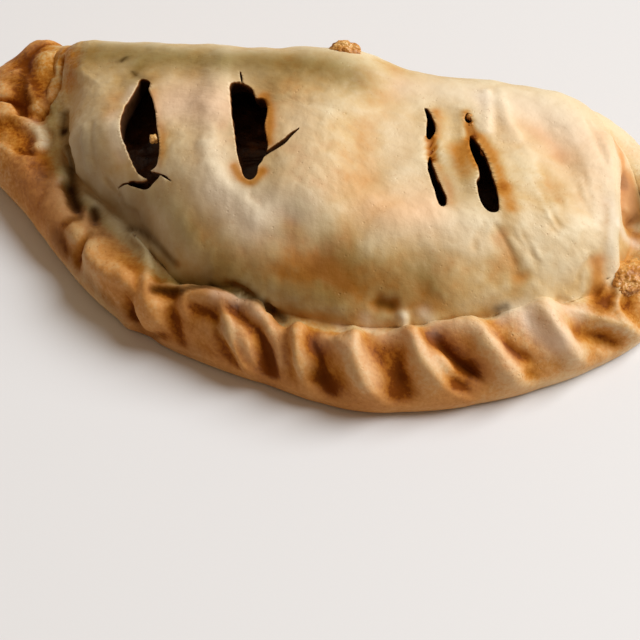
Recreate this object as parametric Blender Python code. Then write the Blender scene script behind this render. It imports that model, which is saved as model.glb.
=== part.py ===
# A calzone: a half-moon of baked dough, crimped along its curved front edge,
# with four slits in the top that open onto the filling, and two beads of
# baked cheese that have leaked out.
# Metres, +Z up. The long way runs along X, the crimped edge faces -Y and the
# fold of the dough is at +Y. The base lies on z = 0.

import math

import bmesh
import bpy
import numpy as np
from mathutils import Vector, noise

MM = 0.001
GAP = 0.4                           # clear space between touching pieces

# ---------------------------------------------------------------- plan (mm)
# Each pair is one station round the calzone, from the left tip along the
# crimped front to the right end and back along the fold: a point of the
# outer edge, then the point of the dome's base that lies inward of it.
STATIONS = (
    ((-104.0, 30.0), (-71.5, 20.0)),
    ((-97.0, 7.0), (-66.5, 7.0)),
    ((-74.0, -13.0), (-61.0, -5.0)),
    ((-46.5, -38.0), (-39.5, -19.5)),
    ((-22.0, -49.0), (-19.0, -37.0)),
    ((6.0, -55.0), (6.0, -41.0)),
    ((32.0, -58.0), (30.0, -41.0)),
    ((60.0, -49.0), (54.0, -32.0)),
    ((86.0, -31.0), (79.0, -19.5)),
    ((103.0, -10.0), (88.5, -8.0)),
    ((108.0, 14.0), (92.0, 13.0)),
    ((99.0, 37.0), (87.0, 31.0)),
    ((79.0, 50.0), (71.0, 42.0)),
    ((38.0, 47.0), (36.0, 41.5)),
    ((0.0, 44.0), (0.0, 39.0)),
    ((-45.0, 45.0), (-43.0, 40.0)),
    ((-82.0, 49.0), (-76.0, 42.0)),
    ((-99.0, 44.0), (-80.0, 32.0)),
)
DOME_CENTRE = (2.0, 6.0)
PLAN_MIDDLE = (2.1, -3.6)           # the middle of the calzone's box, which becomes the origin
SPINE_SHARE = 0.45                  # how far along X the dome's walls aim from its centre

# ---------------------------------------------------------- dome's top (mm)
RIDGE_X = (-80.0, -60.0, -40.0, -15.0, 8.0, 24.0, 48.0, 66.0, 80.0, 95.0)
RIDGE_Z = (26.5, 31.5, 37.5, 43.0, 46.5, 41.0, 39.5, 38.5, 35.5, 29.0)
RIDGE_Y = 22.0                      # where the top is highest
FRONT_FALL = 9.5                    # drop from there to the front shoulder
FALL_REACH = 50.0                   # distance over which it drops

# ------------------------------------- rim, by distance from the left tip (mm)
# Height of its crest, height of the crease behind it, the crest's place as a
# share of the rim's width, and the dome's wall: its reach and first slope.
EDGE_AT = (0.0, 30.0, 60.0, 85.0, 105.0, 125.0, 150.0, 200.0, 240.0, 270.0, 300.0)
CREST_HEIGHT = (15.0, 16.0, 16.0, 16.5, 17.0, 19.5, 18.5, 18.5, 17.5, 17.0, 18.0)
CREASE_HEIGHT = (20.0, 16.5, 15.0, 14.5, 14.0, 13.0, 14.0, 14.0, 15.5, 15.0, 15.0)
CREST_SHARE = (0.50, 0.52, 0.58, 0.58, 0.43, 0.76, 0.74, 0.74, 0.80, 0.72, 0.60)
WALL_REACH = (13.0, 13.0, 15.0, 16.0, 16.0, 19.0, 22.0, 22.0, 20.0, 17.0, 16.0)
WALL_START = (14.0, -14.0, -12.0, -6.0, -6.0, -8.0, -4.0, 0.0, 8.0, 2.0, -8.0)   # degrees
FOLD_FADE_IN = (300.0, 335.0)       # crimp gives way to the plain fold
FOLD_FADE_OUT = (478.0, 508.0)      # and comes back at the left corner
WALL_SPREAD = 50.0                  # how much farther the fold's fades reach on the dome
FOLD_REACH = 21.0                   # radius of the fold's shoulder
FOLD_START = 35.0                   # degrees up the fold at which the dome begins
FOLD_WIDEST, FOLD_JOIN = 0.42, 0.78  # heights on the fold, as shares of the ridge
FOLD_FOOT_ANGLE = 60.0              # how far the fold turns under, degrees
FOLD_FOOT_SHARE = 1.3               # how far in its foot is, as a share of the rim
EDGE_WIDEST = 5.0                   # height of the rim's widest line
FOOT_ANGLE = 50.0                   # how far the edge turns under, degrees
FOOT_SHARE = 0.12                   # how far in the foot is, as a share of the rim
LEAST_HEIGHT = 0.3                  # of any rim point above the foot

# Each pleat: where its ridge leaves the crest, where it meets the foot, and
# the depth of the groove just past it.
PLEATS = (
    (56.0, 62.0, 0.8),
    (70.0, 73.0, 1.8),
    (95.0, 106.0, 1.2),
    (113.0, 121.0, 2.6),
    (133.0, 144.0, 5.0),
    (154.0, 159.5, 4.4),
    (171.0, 180.0, 5.2),
    (186.0, 201.0, 5.4),
    (207.5, 218.0, 4.6),
    (226.0, 234.0, 4.0),
    (247.0, 253.0, 2.6),
    (263.0, 268.0, 1.6),
    (280.0, 284.0, 0.8),
)
GROOVE_PLACE = 0.24                 # groove bottom, as a share of the way to the next ridge
GROOVE_RISE, GROOVE_EASE = 0.85, 0.6  # how steeply it climbs from there, and how it eases at the ridge
LEAN_FADE = (40.0, 20.0)            # distances over which the lean fades before and after the pleats
# A groove's depth by how far up the rim it is: its share at the widest line, at
# the crest and behind it, and the part of the climb over which it reaches full depth.
GROOVE_LOW, GROOVE_CREST, GROOVE_CLIMB = 0.35, 0.75, 0.35
GROOVE_TILT = 80.0                  # how far a groove turns from sideways to upwards by the crest, degrees

# --------------------------------------------------------------- mesh density
BASE_RINGS = (0.45, 0.88)
RIM_STEPS = 12
CREST_STEP = 9                      # the rim step that lies on the crest
WALL_STEPS = 6
TOP_RINGS = (0.86, 0.73, 0.60, 0.48, 0.36, 0.24, 0.12)
COLUMNS = 150
FRONT_DENSITY = 2.6                 # columns on the crimp for each on the fold


def smooth_through(xs, ys, x):
    """Value at x of a smooth curve through the points (xs, ys), level at its ends."""
    xs, ys = np.asarray(xs, float), np.asarray(ys, float)
    slopes = np.zeros_like(ys)
    slopes[1:-1] = (ys[2:] - ys[:-2]) / (xs[2:] - xs[:-2])
    x = np.clip(x, xs[0], xs[-1])
    k = np.clip(np.searchsorted(xs, x, side="right") - 1, 0, len(xs) - 2)
    step = xs[k + 1] - xs[k]
    t = (x - xs[k]) / step
    return ((2 * t**3 - 3 * t**2 + 1) * ys[k] + (t**3 - 2 * t**2 + t) * step * slopes[k]
            + (3 * t**2 - 2 * t**3) * ys[k + 1] + (t**3 - t**2) * step * slopes[k + 1])


def blend(a, b, weight):
    return a + (b - a) * weight


def smooth_step(low, high, x):
    t = np.clip((x - low) / (high - low), 0.0, 1.0)
    return t * t * (3 - 2 * t)


def round_loop(points, position):
    """Point of a closed smooth curve, where whole positions are the given points."""
    points = np.asarray(points, float)
    count = len(points)
    k = np.floor(position).astype(int)
    t = (position - k)[..., None]
    before, here, there, after = (points[(k + n) % count] for n in (-1, 0, 1, 2))
    out, back = (there - before) / 2, (after - here) / 2
    return ((2 * t**3 - 3 * t**2 + 1) * here + (t**3 - 2 * t**2 + t) * out
            + (3 * t**2 - 2 * t**3) * there + (t**3 - t**2) * back)


class Edge:
    """The outer edge and the dome's base line, by distance along the edge."""

    def __init__(self):
        self.outer = [pair[0] for pair in STATIONS]
        self.inner = [pair[1] for pair in STATIONS]
        self.positions = np.linspace(0, len(STATIONS), 3601)
        path = round_loop(self.outer, self.positions)
        steps = np.linalg.norm(np.diff(path, axis=0), axis=1)
        self.lengths = np.concatenate(([0.0], np.cumsum(steps)))
        self.total = self.lengths[-1]

    def at(self, distance):
        position = np.interp(np.mod(distance, self.total), self.lengths, self.positions)
        position = np.mod(position, len(STATIONS))
        return round_loop(self.outer, position), round_loop(self.inner, position)


EDGE = Edge()


def along_edge(values, distance):
    """A rim value at a distance from the left tip, from its last entry back to its first on the fold."""
    places = EDGE_AT + (EDGE.total,)
    return smooth_through(places, tuple(values) + (values[0],), np.mod(distance, EDGE.total))


def fold_weight(distance, spread=0.0):
    """0 on the crimped edge, 1 on the plain fold at the back, with wider fades for a spread."""
    distance = np.mod(distance, EDGE.total)
    rise = smooth_step(FOLD_FADE_IN[0] - spread / 4, FOLD_FADE_IN[1] + spread, distance)
    return rise - smooth_step(FOLD_FADE_OUT[0] - spread, FOLD_FADE_OUT[1] + spread / 4, distance)


# ------------------------------------------------------------------ the dome
FULL_FALL_RIDGE = 45.0              # ridge height where the front drops by all of FRONT_FALL
FALL_POWER, FALL_LIMIT = 1.7, 1.4   # shape of the drop, and how far past FALL_REACH it goes on
# Soft swells and dents of the top: centre, half lengths, turn in degrees, height.
SWELLS = (
    ((-50.0, -14.0), (9.0, 5.0), 40.0, -3.2),
    ((-38.0, -24.0), (8.0, 4.0), 30.0, -2.4),
    ((34.0, -22.0), (14.0, 5.0), 20.0, 1.8),
    ((22.0, -34.0), (14.0, 6.0), -8.0, -2.2),
    ((66.0, 8.0), (9.0, 20.0), 15.0, -1.6),
    ((-20.0, -16.0), (12.0, 8.0), 25.0, 1.4),
    ((-24.0, 8.0), (5.0, 14.0), 8.0, 1.6),
)


def swell(x, y, centre, halves, turn, height):
    """A soft swell or dent, fading over its two half lengths."""
    c, s = math.cos(math.radians(turn)), math.sin(math.radians(turn))
    dx, dy = x - centre[0], y - centre[1]
    along = (dx * c + dy * s) / halves[0]
    across = (dy * c - dx * s) / halves[1]
    return height * np.exp(-(along**2 + across**2))


def dome_top(x, y):
    """Height of the dome's top over a point of the plan."""
    ridge = smooth_through(RIDGE_X, RIDGE_Z, x)
    fall = np.clip((RIDGE_Y - y) / FALL_REACH, 0.0, FALL_LIMIT)
    height = ridge - FRONT_FALL * fall**FALL_POWER * ridge / FULL_FALL_RIDGE
    for centre, halves, turn, lift in SWELLS:
        height = height + swell(x, y, centre, halves, turn, lift)
    return height


# ------------------------------------------------------------------- the rim
def pleat_fields(station):
    """Groove depth at a crest station, and how far its pleat leans by the foot."""
    starts, feet, depths = (np.array(column) for column in zip(*PLEATS))
    leans = feet - starts
    fade = smooth_step(starts[0] - LEAN_FADE[0], starts[0], station)
    fade = fade * (1 - smooth_step(starts[-1], starts[-1] + LEAN_FADE[1], station))
    lean = np.interp(station, starts, leans) * fade
    k = np.clip(np.searchsorted(starts, station, side="right") - 1, 0, len(starts) - 2)
    phase = np.clip((station - starts[k]) / (starts[k + 1] - starts[k]), 0.0, 1.0)
    falling = 0.5 - 0.5 * np.cos(np.pi * np.clip(phase / GROOVE_PLACE, 0, 1))
    climb = np.clip((phase - GROOVE_PLACE) / (1 - GROOVE_PLACE), 0, 1)
    rising = 1 - climb**GROOVE_RISE * (1 + GROOVE_EASE * (1 - climb))
    groove = np.where(phase < GROOVE_PLACE, falling, rising) * depths[k]
    inside = (station > starts[0]) & (station < starts[-1])
    return np.where(inside, groove, 0.0), lean


# Folds, laps and pinches of the rim: path, half width, height.
RIM_FOLDS = (
    # left end
    (((-96.0, 46.0), (-86.0, 44.0), (-80.0, 36.0)), 6.0, 2.2),
    (((-86.0, 40.0), (-84.0, 34.0), (-82.5, 28.0), (-82.0, 21.0)), 3.6, 2.8),
    (((-97.0, 32.0), (-93.0, 24.0)), 6.5, 2.5),
    (((-91.0, 36.0), (-88.0, 28.0), (-84.5, 21.0)), 1.8, -3.0),
    (((-96.0, 14.0), (-86.0, 15.0), (-77.0, 9.0)), 4.0, 2.2),
    (((-89.0, 11.0), (-80.0, 7.0)), 4.0, 1.2),
    (((-98.0, 19.0), (-87.0, 20.5), (-80.0, 14.0)), 1.8, -2.2),
    (((-70.0, 16.0), (-67.0, 6.0), (-58.0, -6.0)), 2.4, -1.4),
    # lobe, shelf, thumb pad and arch on the left of the front
    (((-50.0, -27.0), (-43.0, -36.0), (-35.0, -39.0)), 5.0, 2.0),
    (((-46.0, -22.5), (-31.0, -31.0)), 6.0, -0.8),
    (((-29.0, -43.0), (-25.0, -46.0)), 4.4, 2.4),
    (((-16.0, -44.0), (-8.0, -45.0), (0.0, -44.0)), 4.0, 3.0),
    (((-20.0, -41.0), (-8.0, -39.0), (6.0, -39.5)), 2.0, -2.6),
    # crests on the right of the front
    (((47.0, -39.0), (55.0, -38.0)), 3.4, 3.0),
    (((64.0, -31.5), (71.0, -28.5)), 4.0, 2.2),
    # right end
    (((86.0, 0.0), (88.5, -10.0), (89.5, -19.0)), 3.0, 2.2),
    (((83.5, -6.0), (84.5, -13.0), (85.0, -20.0)), 1.8, -1.4),
    (((95.0, 14.0), (90.0, 30.0)), 5.0, 3.0),
    (((86.0, 16.0), (81.0, 30.0)), 2.5, -3.0),
)
FIRST_FOLD_STEP, FOLD_FADE_STEPS = 2, 4  # rim step where they begin, and steps to their full height


def stroke(x, y, path, half_width, height):
    """A ridge or groove along a path of the plan, fading over its half width."""
    nearest = np.full(np.shape(x), 1e9)
    for (ax, ay), (bx, by) in zip(path, path[1:]):
        dx, dy = bx - ax, by - ay
        share = np.clip(((x - ax) * dx + (y - ay) * dy) / (dx * dx + dy * dy), 0, 1)
        nearest = np.minimum(nearest, np.hypot(x - ax - share * dx, y - ay - share * dy))
    return height * np.exp(-(nearest / half_width) ** 2)


def rim_section(step, distance):
    """Inward share, height and pleat share at a step up the rim, 0 at the foot."""
    fold = fold_weight(distance)
    edge, _ = EDGE.at(distance)
    crest, crease = along_edge(CREST_HEIGHT, distance), along_edge(CREASE_HEIGHT, distance)
    crest_share = along_edge(CREST_SHARE, distance)
    if step <= CREST_STEP:
        angle = math.radians(blend(-FOOT_ANGLE, 90.0, step / CREST_STEP))
        if angle < 0:
            under = 1 + math.sin(angle) / math.sin(math.radians(FOOT_ANGLE))
            share = FOOT_SHARE * (1 - under)
            height = EDGE_WIDEST * under + 0 * distance
            pleat = 1.0
        else:
            share = crest_share * (1 - math.cos(angle))
            height = EDGE_WIDEST + (crest - EDGE_WIDEST) * math.sin(angle)
            pleat = 1 - math.sin(angle)
    else:
        down = (step - CREST_STEP) / (RIM_STEPS - CREST_STEP)
        share = blend(crest_share, 1.0, down)
        height = crest - (crest - crease) * (0.5 - 0.5 * math.cos(math.pi * down))
        pleat = 0.0
    ridge = smooth_through(RIDGE_X, RIDGE_Z, edge[..., 0])
    turn = blend(-FOLD_FOOT_ANGLE, FOLD_START, step / RIM_STEPS)
    if turn < 0:
        lift = math.sin(math.radians(turn)) / math.sin(math.radians(FOLD_FOOT_ANGLE))
        fold_share = FOLD_FOOT_SHARE * lift * lift
        fold_height = FOLD_WIDEST * ridge * (1 + lift)
    else:
        lift = math.sin(math.radians(turn)) / math.sin(math.radians(FOLD_START))
        fold_share = (1 - math.cos(math.radians(turn))) / (1 - math.cos(math.radians(FOLD_START)))
        fold_height = ridge * blend(FOLD_WIDEST, FOLD_JOIN, lift)
    return blend(share, fold_share, fold), blend(height, fold_height, fold), pleat


def rim_point(step, station):
    """Plan point and height of one rim step, with its pleats and end folds."""
    groove, lean = pleat_fields(station)
    _, _, pleat = rim_section(step, station)
    distance = station + lean * pleat
    share, height, pleat = rim_section(step, distance)
    if step < CREST_STEP:
        reach = blend(GROOVE_LOW, 1.0, min(1.0, (1 - pleat) / GROOVE_CLIMB))
    else:
        reach = GROOVE_CREST * (1 - (step - CREST_STEP) / (RIM_STEPS - CREST_STEP))
    facing = math.radians(GROOVE_TILT * (1 - pleat))
    outer, inner = EDGE.at(distance)
    width = np.linalg.norm(inner - outer, axis=-1)
    share = share + groove * reach * math.cos(facing) / width
    height = height - groove * reach * math.sin(facing)
    plan = blend(outer, inner, np.asarray(share)[..., None])
    if step >= FIRST_FOLD_STEP:
        folds = sum(stroke(plan[..., 0], plan[..., 1], *fold) for fold in RIM_FOLDS)
        full = min(1.0, (step - FIRST_FOLD_STEP + 1) / FOLD_FADE_STEPS)
        height = height + folds * (1 - fold_weight(distance)) * full
    return plan, np.maximum(height, 0.0 if step == 0 else LEAST_HEIGHT)


def wall_point(share, station):
    """Plan point and height on the dome's wall, share 0 at its base and 1 at its shoulder."""
    fold = fold_weight(station, WALL_SPREAD)
    _, base = EDGE.at(station)
    _, base_height, _ = rim_section(RIM_STEPS, station)
    start = np.radians(blend(along_edge(WALL_START, station), FOLD_START, fold))
    reach = blend(along_edge(WALL_REACH, station), FOLD_REACH, fold)
    angle = blend(start, math.pi / 2, share)
    inward = reach * (np.cos(start) - np.cos(angle))
    lift = (np.sin(angle) - np.sin(start)) / (1 - np.sin(start))
    target = np.stack((SPINE_SHARE * base[..., 0], np.full(base.shape[:-1], DOME_CENTRE[1])), -1)
    heading = target - base
    heading = heading / np.linalg.norm(heading, axis=-1, keepdims=True)
    plan = base + heading * inward[..., None]
    height = blend(base_height, dome_top(plan[..., 0], plan[..., 1]), lift)
    return plan, height


def top_point(share, station):
    """Plan point and height on the dome's top, share 1 at its shoulder and 0 at its centre."""
    shoulder, _ = wall_point(1.0, station)
    plan = blend(np.array(DOME_CENTRE), shoulder, share)
    return plan, dome_top(plan[..., 0], plan[..., 1])


def column_stations(count):
    """Stations of the columns, closer together along the crimp than on the fold."""
    samples = np.linspace(0, EDGE.total, 1201)
    density = blend(FRONT_DENSITY, 1.0, fold_weight(samples))
    filled = np.concatenate(([0.0], np.cumsum((density[1:] + density[:-1]) / 2)))
    return np.interp(np.arange(count) / count * filled[-1], filled, samples)


def outer_rows():
    """Every ring of the outer surface, from the base to the top of the dome."""
    stations = column_stations(COLUMNS)
    foot, _ = rim_point(0, stations)
    centre = np.array(DOME_CENTRE)
    rows = [(blend(centre, foot, share), np.zeros(COLUMNS)) for share in BASE_RINGS]
    rows += [rim_point(step, stations) for step in range(RIM_STEPS + 1)]
    rows += [wall_point(step / WALL_STEPS, stations) for step in range(1, WALL_STEPS + 1)]
    rows += [top_point(share, stations) for share in TOP_RINGS]
    return rows


# -------------------------------------------------------- hollow and filling
HOLLOW_SHARE = 0.88                 # how far out the hollow runs, as a share of the dome's base
HOLLOW_COLUMNS = 56
HOLLOW_ANGLES = (-66, -42, -22, -8, 4, 16, 30, 45, 60, 75)
HOLLOW_FLOOR, HOLLOW_WAIST = 7.0, 14.0
ROOF_THICKNESS = 5.0
BOXINESS = 4.0                      # power of its rounded section, 2 is an ellipse
FILLING_TOP = 0.62                  # filling's top, as a share of the dome's height over it
FILLING_INSET = 1.2                 # how far its sides stand in from the hollow's
LUMP_SIZE, LUMP_HEIGHT, LUMP_SEED = 9.0, 2.2, 0.7


def hollow_rows(inset, lift, top_height):
    """Rings of a rounded lens in the dome, whose top follows the given height."""
    stations = np.arange(HOLLOW_COLUMNS) / HOLLOW_COLUMNS * EDGE.total
    _, base = EDGE.at(stations)
    centre = np.array(DOME_CENTRE)
    rows = []
    for angle in map(math.radians, HOLLOW_ANGLES):
        out = math.cos(angle) ** (2 / BOXINESS)
        up = abs(math.sin(angle)) ** (2 / BOXINESS)
        plan = blend(centre, base, HOLLOW_SHARE * out)
        plan = plan - (plan - centre) * (inset / np.linalg.norm(plan - centre, axis=-1))[:, None]
        limit = HOLLOW_FLOOR + lift if angle < 0 else top_height(plan[:, 0], plan[:, 1])
        rows.append((plan, blend(HOLLOW_WAIST, limit, up) + 0 * stations))
    centre_top = top_height(np.array([centre[0]]), np.array([centre[1]]))[0]
    return rows, (*centre, HOLLOW_FLOOR + lift), (*centre, centre_top)


def roof_height(x, y):
    """Height of the hollow's roof."""
    return dome_top(x, y) - ROOF_THICKNESS


def filling_height(x, y):
    """Height of the lumpy filling."""
    lumps = [noise.noise(Vector((a / LUMP_SIZE, b / LUMP_SIZE, LUMP_SEED))) for a, b in zip(x, y)]
    return dome_top(x, y) * FILLING_TOP + LUMP_HEIGHT * np.array(lumps)


# --------------------------------------------------------------------- slits
# Outlines of the openings in the plan, and the height that each cut starts from.
SLITS = (
    ("slit_1", ((-46.6, 17.1), (-49.6, 11.0), (-48.8, 2.0), (-45.5, -6.0), (-39.5, -14.5),
                (-34.8, -18.2), (-32.4, -16.5), (-34.5, -8.5), (-38.4, 0.0), (-42.0, 10.5))),
    ("slit_2", ((-20.2, 13.0), (-17.2, 1.9), (-13.5, -8.0), (-10.2, -15.4), (-7.2, -18.9),
                (-5.0, -16.5), (-5.3, -7.9), (-7.7, -0.2), (-10.6, 8.7), (-16.0, 13.4))),
    ("slit_3_back", ((31.0, 18.6), (32.6, 12.5), (34.6, 7.3), (36.5, 8.6), (35.6, 13.6), (33.0, 19.0))),
    ("slit_3_front", ((35.6, 3.2), (38.0, -3.8), (40.3, -9.4), (42.6, -13.4), (44.0, -12.0),
                      (42.2, -6.8), (39.7, -1.0), (37.0, 4.2))),
    ("slit_4", ((44.6, 13.4), (47.5, 5.2), (49.8, -1.0), (51.3, -6.6), (53.6, -11.2), (56.4, -10.8),
                (55.8, -4.9), (53.3, 1.2), (50.5, 6.6), (46.6, 14.0))),
)
CUT_SIDES = 20
CUT_FLOOR, CUT_TOP = 20.0, 60.0
CUT_TAPER = 0.86                    # width of a cut at its floor

# ------------------------------------------------------------- baked cheese
# Centre, half lengths, turn in degrees about Z, seed.
BEADS = (
    ("cheese_bead", (6.3, 31.4, 43.6), (4.4, 3.0, 2.8), 10.0, 3.0),
    ("cheese_leak", (92.0, -8.5, 17.0), (4.6, 6.4, 3.0), -25.0, 8.0),
)
BEAD_ROUGHNESS, KNOB_SIZE = 0.16, 0.5   # height and size of its knobs, as shares of a half length
BEAD_DETAIL = 3

SHARP_ANGLE = 50.0                  # edges sharper than this stay sharp
NEAR_POLE = 0.999999                # where a unit ball's poles begin


# ------------------------------------------------------------ Blender objects
def wrap_ball(rows, bottom, top):
    """A ball whose rings are moved, from the lowest up, to the given rows of points."""
    mesh = bmesh.new()
    count = len(rows[0][1])
    bmesh.ops.create_uvsphere(mesh, u_segments=count, v_segments=len(rows) + 1, radius=1.0)
    for vert in mesh.verts:
        if abs(vert.co.z) > NEAR_POLE:
            vert.co = Vector(top if vert.co.z > 0 else bottom) * MM
            continue
        climb = math.pi / 2 + math.asin(max(-1.0, min(1.0, vert.co.z)))
        row = round(climb / math.pi * (len(rows) + 1)) - 1
        column = round(math.atan2(vert.co.y, vert.co.x) / (2 * math.pi) * count) % count
        plan, height = rows[row]
        vert.co = Vector((plan[column][0], plan[column][1], height[column])) * MM
    bmesh.ops.triangulate(mesh, faces=mesh.faces[:])
    bmesh.ops.recalc_face_normals(mesh, faces=mesh.faces[:])
    return mesh


def slit_prism(outline):
    """An upright prism over a slit's outline, a little narrower at its floor."""
    mesh = bmesh.new()
    bmesh.ops.create_circle(mesh, cap_ends=True, segments=CUT_SIDES, radius=1.0)
    rim = round_loop(outline, np.arange(CUT_SIDES) / CUT_SIDES * len(outline))
    middle = rim.mean(axis=0)
    for vert, point in zip(mesh.verts, rim):
        vert.co = Vector((*blend(middle, point, CUT_TAPER), CUT_FLOOR)) * MM
    raised = bmesh.ops.extrude_face_region(mesh, geom=mesh.faces[:])["geom"]
    for vert in raised:
        if isinstance(vert, bmesh.types.BMVert):
            spread = Vector((*middle, 0.0)) * MM
            wide = (vert.co - spread) / CUT_TAPER + spread
            vert.co = Vector((wide.x, wide.y, CUT_TOP * MM))
    bmesh.ops.recalc_face_normals(mesh, faces=mesh.faces[:])
    return mesh


def cheese_lump(centre, halves, turn, seed, grow=0.0):
    """A knobbly bead of cheese, grown on every side for the recess it sits in."""
    mesh = bmesh.new()
    bmesh.ops.create_icosphere(mesh, subdivisions=BEAD_DETAIL, radius=1.0)
    c, s = math.cos(math.radians(turn)), math.sin(math.radians(turn))
    for vert in mesh.verts:
        knob = 1 + BEAD_ROUGHNESS * noise.noise(vert.co / KNOB_SIZE + Vector((seed, seed, seed)))
        x, y, z = (vert.co[k] * (halves[k] * knob + grow) for k in range(3))
        vert.co = Vector((centre[0] + x * c - y * s, centre[1] + x * s + y * c, centre[2] + z)) * MM
    return mesh


def plain_material(name, colour, roughness):
    material = bpy.data.materials.new(name)
    material.use_nodes = True
    shader = material.node_tree.nodes["Principled BSDF"]
    shader.inputs["Base Color"].default_value = (*colour, 1.0)
    shader.inputs["Roughness"].default_value = roughness
    shader.inputs["Metallic"].default_value = 0.0
    return material


def new_object(name, mesh, collection, material=None):
    bmesh.ops.translate(mesh, verts=mesh.verts[:], vec=-Vector((*PLAN_MIDDLE, 0.0)) * MM)
    data = bpy.data.meshes.new(name)
    mesh.to_mesh(data)
    mesh.free()
    data.shade_smooth()
    data.set_sharp_from_angle(angle=math.radians(SHARP_ANGLE))
    if material:
        data.materials.append(material)
    thing = bpy.data.objects.new(name, data)
    collection.objects.link(thing)
    return thing


def cut(thing, cutter):
    """Cuts a cutter out of a thing, and hides the cutter."""
    step = thing.modifiers.new("cut " + cutter.name, "BOOLEAN")
    step.operation = "DIFFERENCE"
    step.solver = "EXACT"
    step.object = cutter
    cutter.hide_render = True
    cutter.display_type = "WIRE"


def build_crust(calzone, cutters):
    centre = np.array(DOME_CENTRE)
    body = wrap_ball(outer_rows(), (*centre, 0.0), (*centre, float(dome_top(*centre))))
    crust = new_object("crust", body, calzone, plain_material("baked dough", (0.62, 0.40, 0.20), 0.62))
    cut(crust, new_object("hollow", wrap_ball(*hollow_rows(0.0, 0.0, roof_height)), cutters))
    for name, outline in SLITS:
        cut(crust, new_object(name, slit_prism(outline), cutters))
    for name, *shape in BEADS:
        cut(crust, new_object(name + "_recess", cheese_lump(*shape, grow=GAP), cutters))
    return crust


def build_filling(calzone):
    filling = wrap_ball(*hollow_rows(FILLING_INSET, GAP, filling_height))
    new_object("filling", filling, calzone, plain_material("baked filling", (0.09, 0.035, 0.012), 0.45))


def build_beads(calzone):
    cheese = plain_material("baked cheese", (0.50, 0.20, 0.045), 0.40)
    for name, *shape in BEADS:
        new_object(name, cheese_lump(*shape), calzone, cheese)


def main():
    for thing in list(bpy.data.objects):
        bpy.data.objects.remove(thing)
    calzone = bpy.data.collections.new("calzone")
    cutters = bpy.data.collections.new("cutters")
    for collection in (calzone, cutters):
        bpy.context.scene.collection.children.link(collection)
    build_crust(calzone, cutters)
    build_filling(calzone)
    build_beads(calzone)


main()
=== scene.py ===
import math

import bmesh
import bpy
import numpy as np
from mathutils import Matrix, Vector, noise
from mathutils.bvhtree import BVHTree
from mathutils.kdtree import KDTree


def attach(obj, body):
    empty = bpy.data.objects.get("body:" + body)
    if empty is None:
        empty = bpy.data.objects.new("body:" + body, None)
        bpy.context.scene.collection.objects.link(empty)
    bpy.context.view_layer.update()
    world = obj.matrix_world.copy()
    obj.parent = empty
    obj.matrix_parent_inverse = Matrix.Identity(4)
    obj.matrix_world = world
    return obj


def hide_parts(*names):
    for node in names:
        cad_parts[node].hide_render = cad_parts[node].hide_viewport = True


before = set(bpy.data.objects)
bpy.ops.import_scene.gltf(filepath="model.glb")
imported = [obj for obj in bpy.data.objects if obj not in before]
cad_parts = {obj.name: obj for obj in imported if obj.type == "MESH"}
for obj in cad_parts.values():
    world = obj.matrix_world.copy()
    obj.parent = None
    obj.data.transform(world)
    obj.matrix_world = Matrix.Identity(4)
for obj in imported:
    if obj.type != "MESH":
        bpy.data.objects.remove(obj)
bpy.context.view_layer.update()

millimetre = 0.001
planMiddle = (2.1, -3.6)  # the plan's box middle, which is the frame's origin

# where the photograph was taken from, mm and degrees, looking at a point of the plan
shot = {"azimuth": 14.0, "elevation": 48.0, "distance": 462.4, "view": 21.0,
        "aim": (14.0, -27.35, 0.0), "pixels": 640}


# small helpers

def mix(a, b, share):
    return a + (b - a) * share


def ramp(low, high, x):
    t = np.clip((x - low) / (high - low), 0.0, 1.0)
    return t * t * (3 - 2 * t)


def curveBetween(t, here, there, out, back):
    # a cubic from here to there, which leaves and arrives with the given slopes
    return ((2 * t**3 - 3 * t**2 + 1) * here + (t**3 - 2 * t**2 + t) * out
            + (3 * t**2 - 2 * t**3) * there + (t**3 - t**2) * back)


def smoothThrough(xs, ys, x):
    # a smooth curve through the points, level at both ends
    xs, ys = np.asarray(xs, float), np.asarray(ys, float)
    slopes = np.zeros_like(ys)
    slopes[1:-1] = (ys[2:] - ys[:-2]) / (xs[2:] - xs[:-2])
    x = np.clip(x, xs[0], xs[-1])
    k = np.clip(np.searchsorted(xs, x, side="right") - 1, 0, len(xs) - 2)
    step = xs[k + 1] - xs[k]
    return curveBetween((x - xs[k]) / step, ys[k], ys[k + 1], step * slopes[k], step * slopes[k + 1])


def roundLoop(points, position):
    # a closed smooth curve, where whole positions are the given points
    points = np.asarray(points, float)
    k = np.floor(position).astype(int)
    before, here, there, after = (points[(k + n) % len(points)] for n in (-1, 0, 1, 2))
    return curveBetween((position - k)[..., None], here, there, (there - before) / 2, (after - here) / 2)


def softPath(points, spacing):
    # points every so often on a smooth open curve through the given ones
    points = np.asarray(points, float)
    padded = np.vstack((2 * points[0] - points[1], points, 2 * points[-1] - points[-2]))
    found = []
    for before, here, there, after in zip(padded, padded[1:], padded[2:], padded[3:]):
        steps = max(2, int(np.linalg.norm(there - here) / spacing) + 1)
        t = np.arange(steps)[:, None] / steps
        found.append(curveBetween(t, here, there, (there - before) / 2, (after - here) / 2))
    return np.vstack(found + [points[-1:]])


def ripple(points, height, size, seed, octaves=1):
    # smooth noise at many points, about as high as the height both ways
    shift = Vector((seed, seed * 1.7, seed * 0.6))
    if octaves == 1:
        return height * np.array([noise.noise(Vector(p) / size + shift) for p in points])
    return height * np.array([noise.fractal(Vector(p) / size + shift, 1.0, 2.0, octaves) for p in points])


# the photograph's rays

def shotAxes():
    turn, rise = math.radians(shot["azimuth"]), math.radians(shot["elevation"])
    back = np.array((math.sin(turn) * math.cos(rise), -math.cos(turn) * math.cos(rise), math.sin(rise)))
    right = np.array((math.cos(turn), math.sin(turn), 0.0))
    return right, np.cross(back, right), back


def shotPlace():
    return np.array(shot["aim"]) + shotAxes()[2] * shot["distance"]


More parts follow.
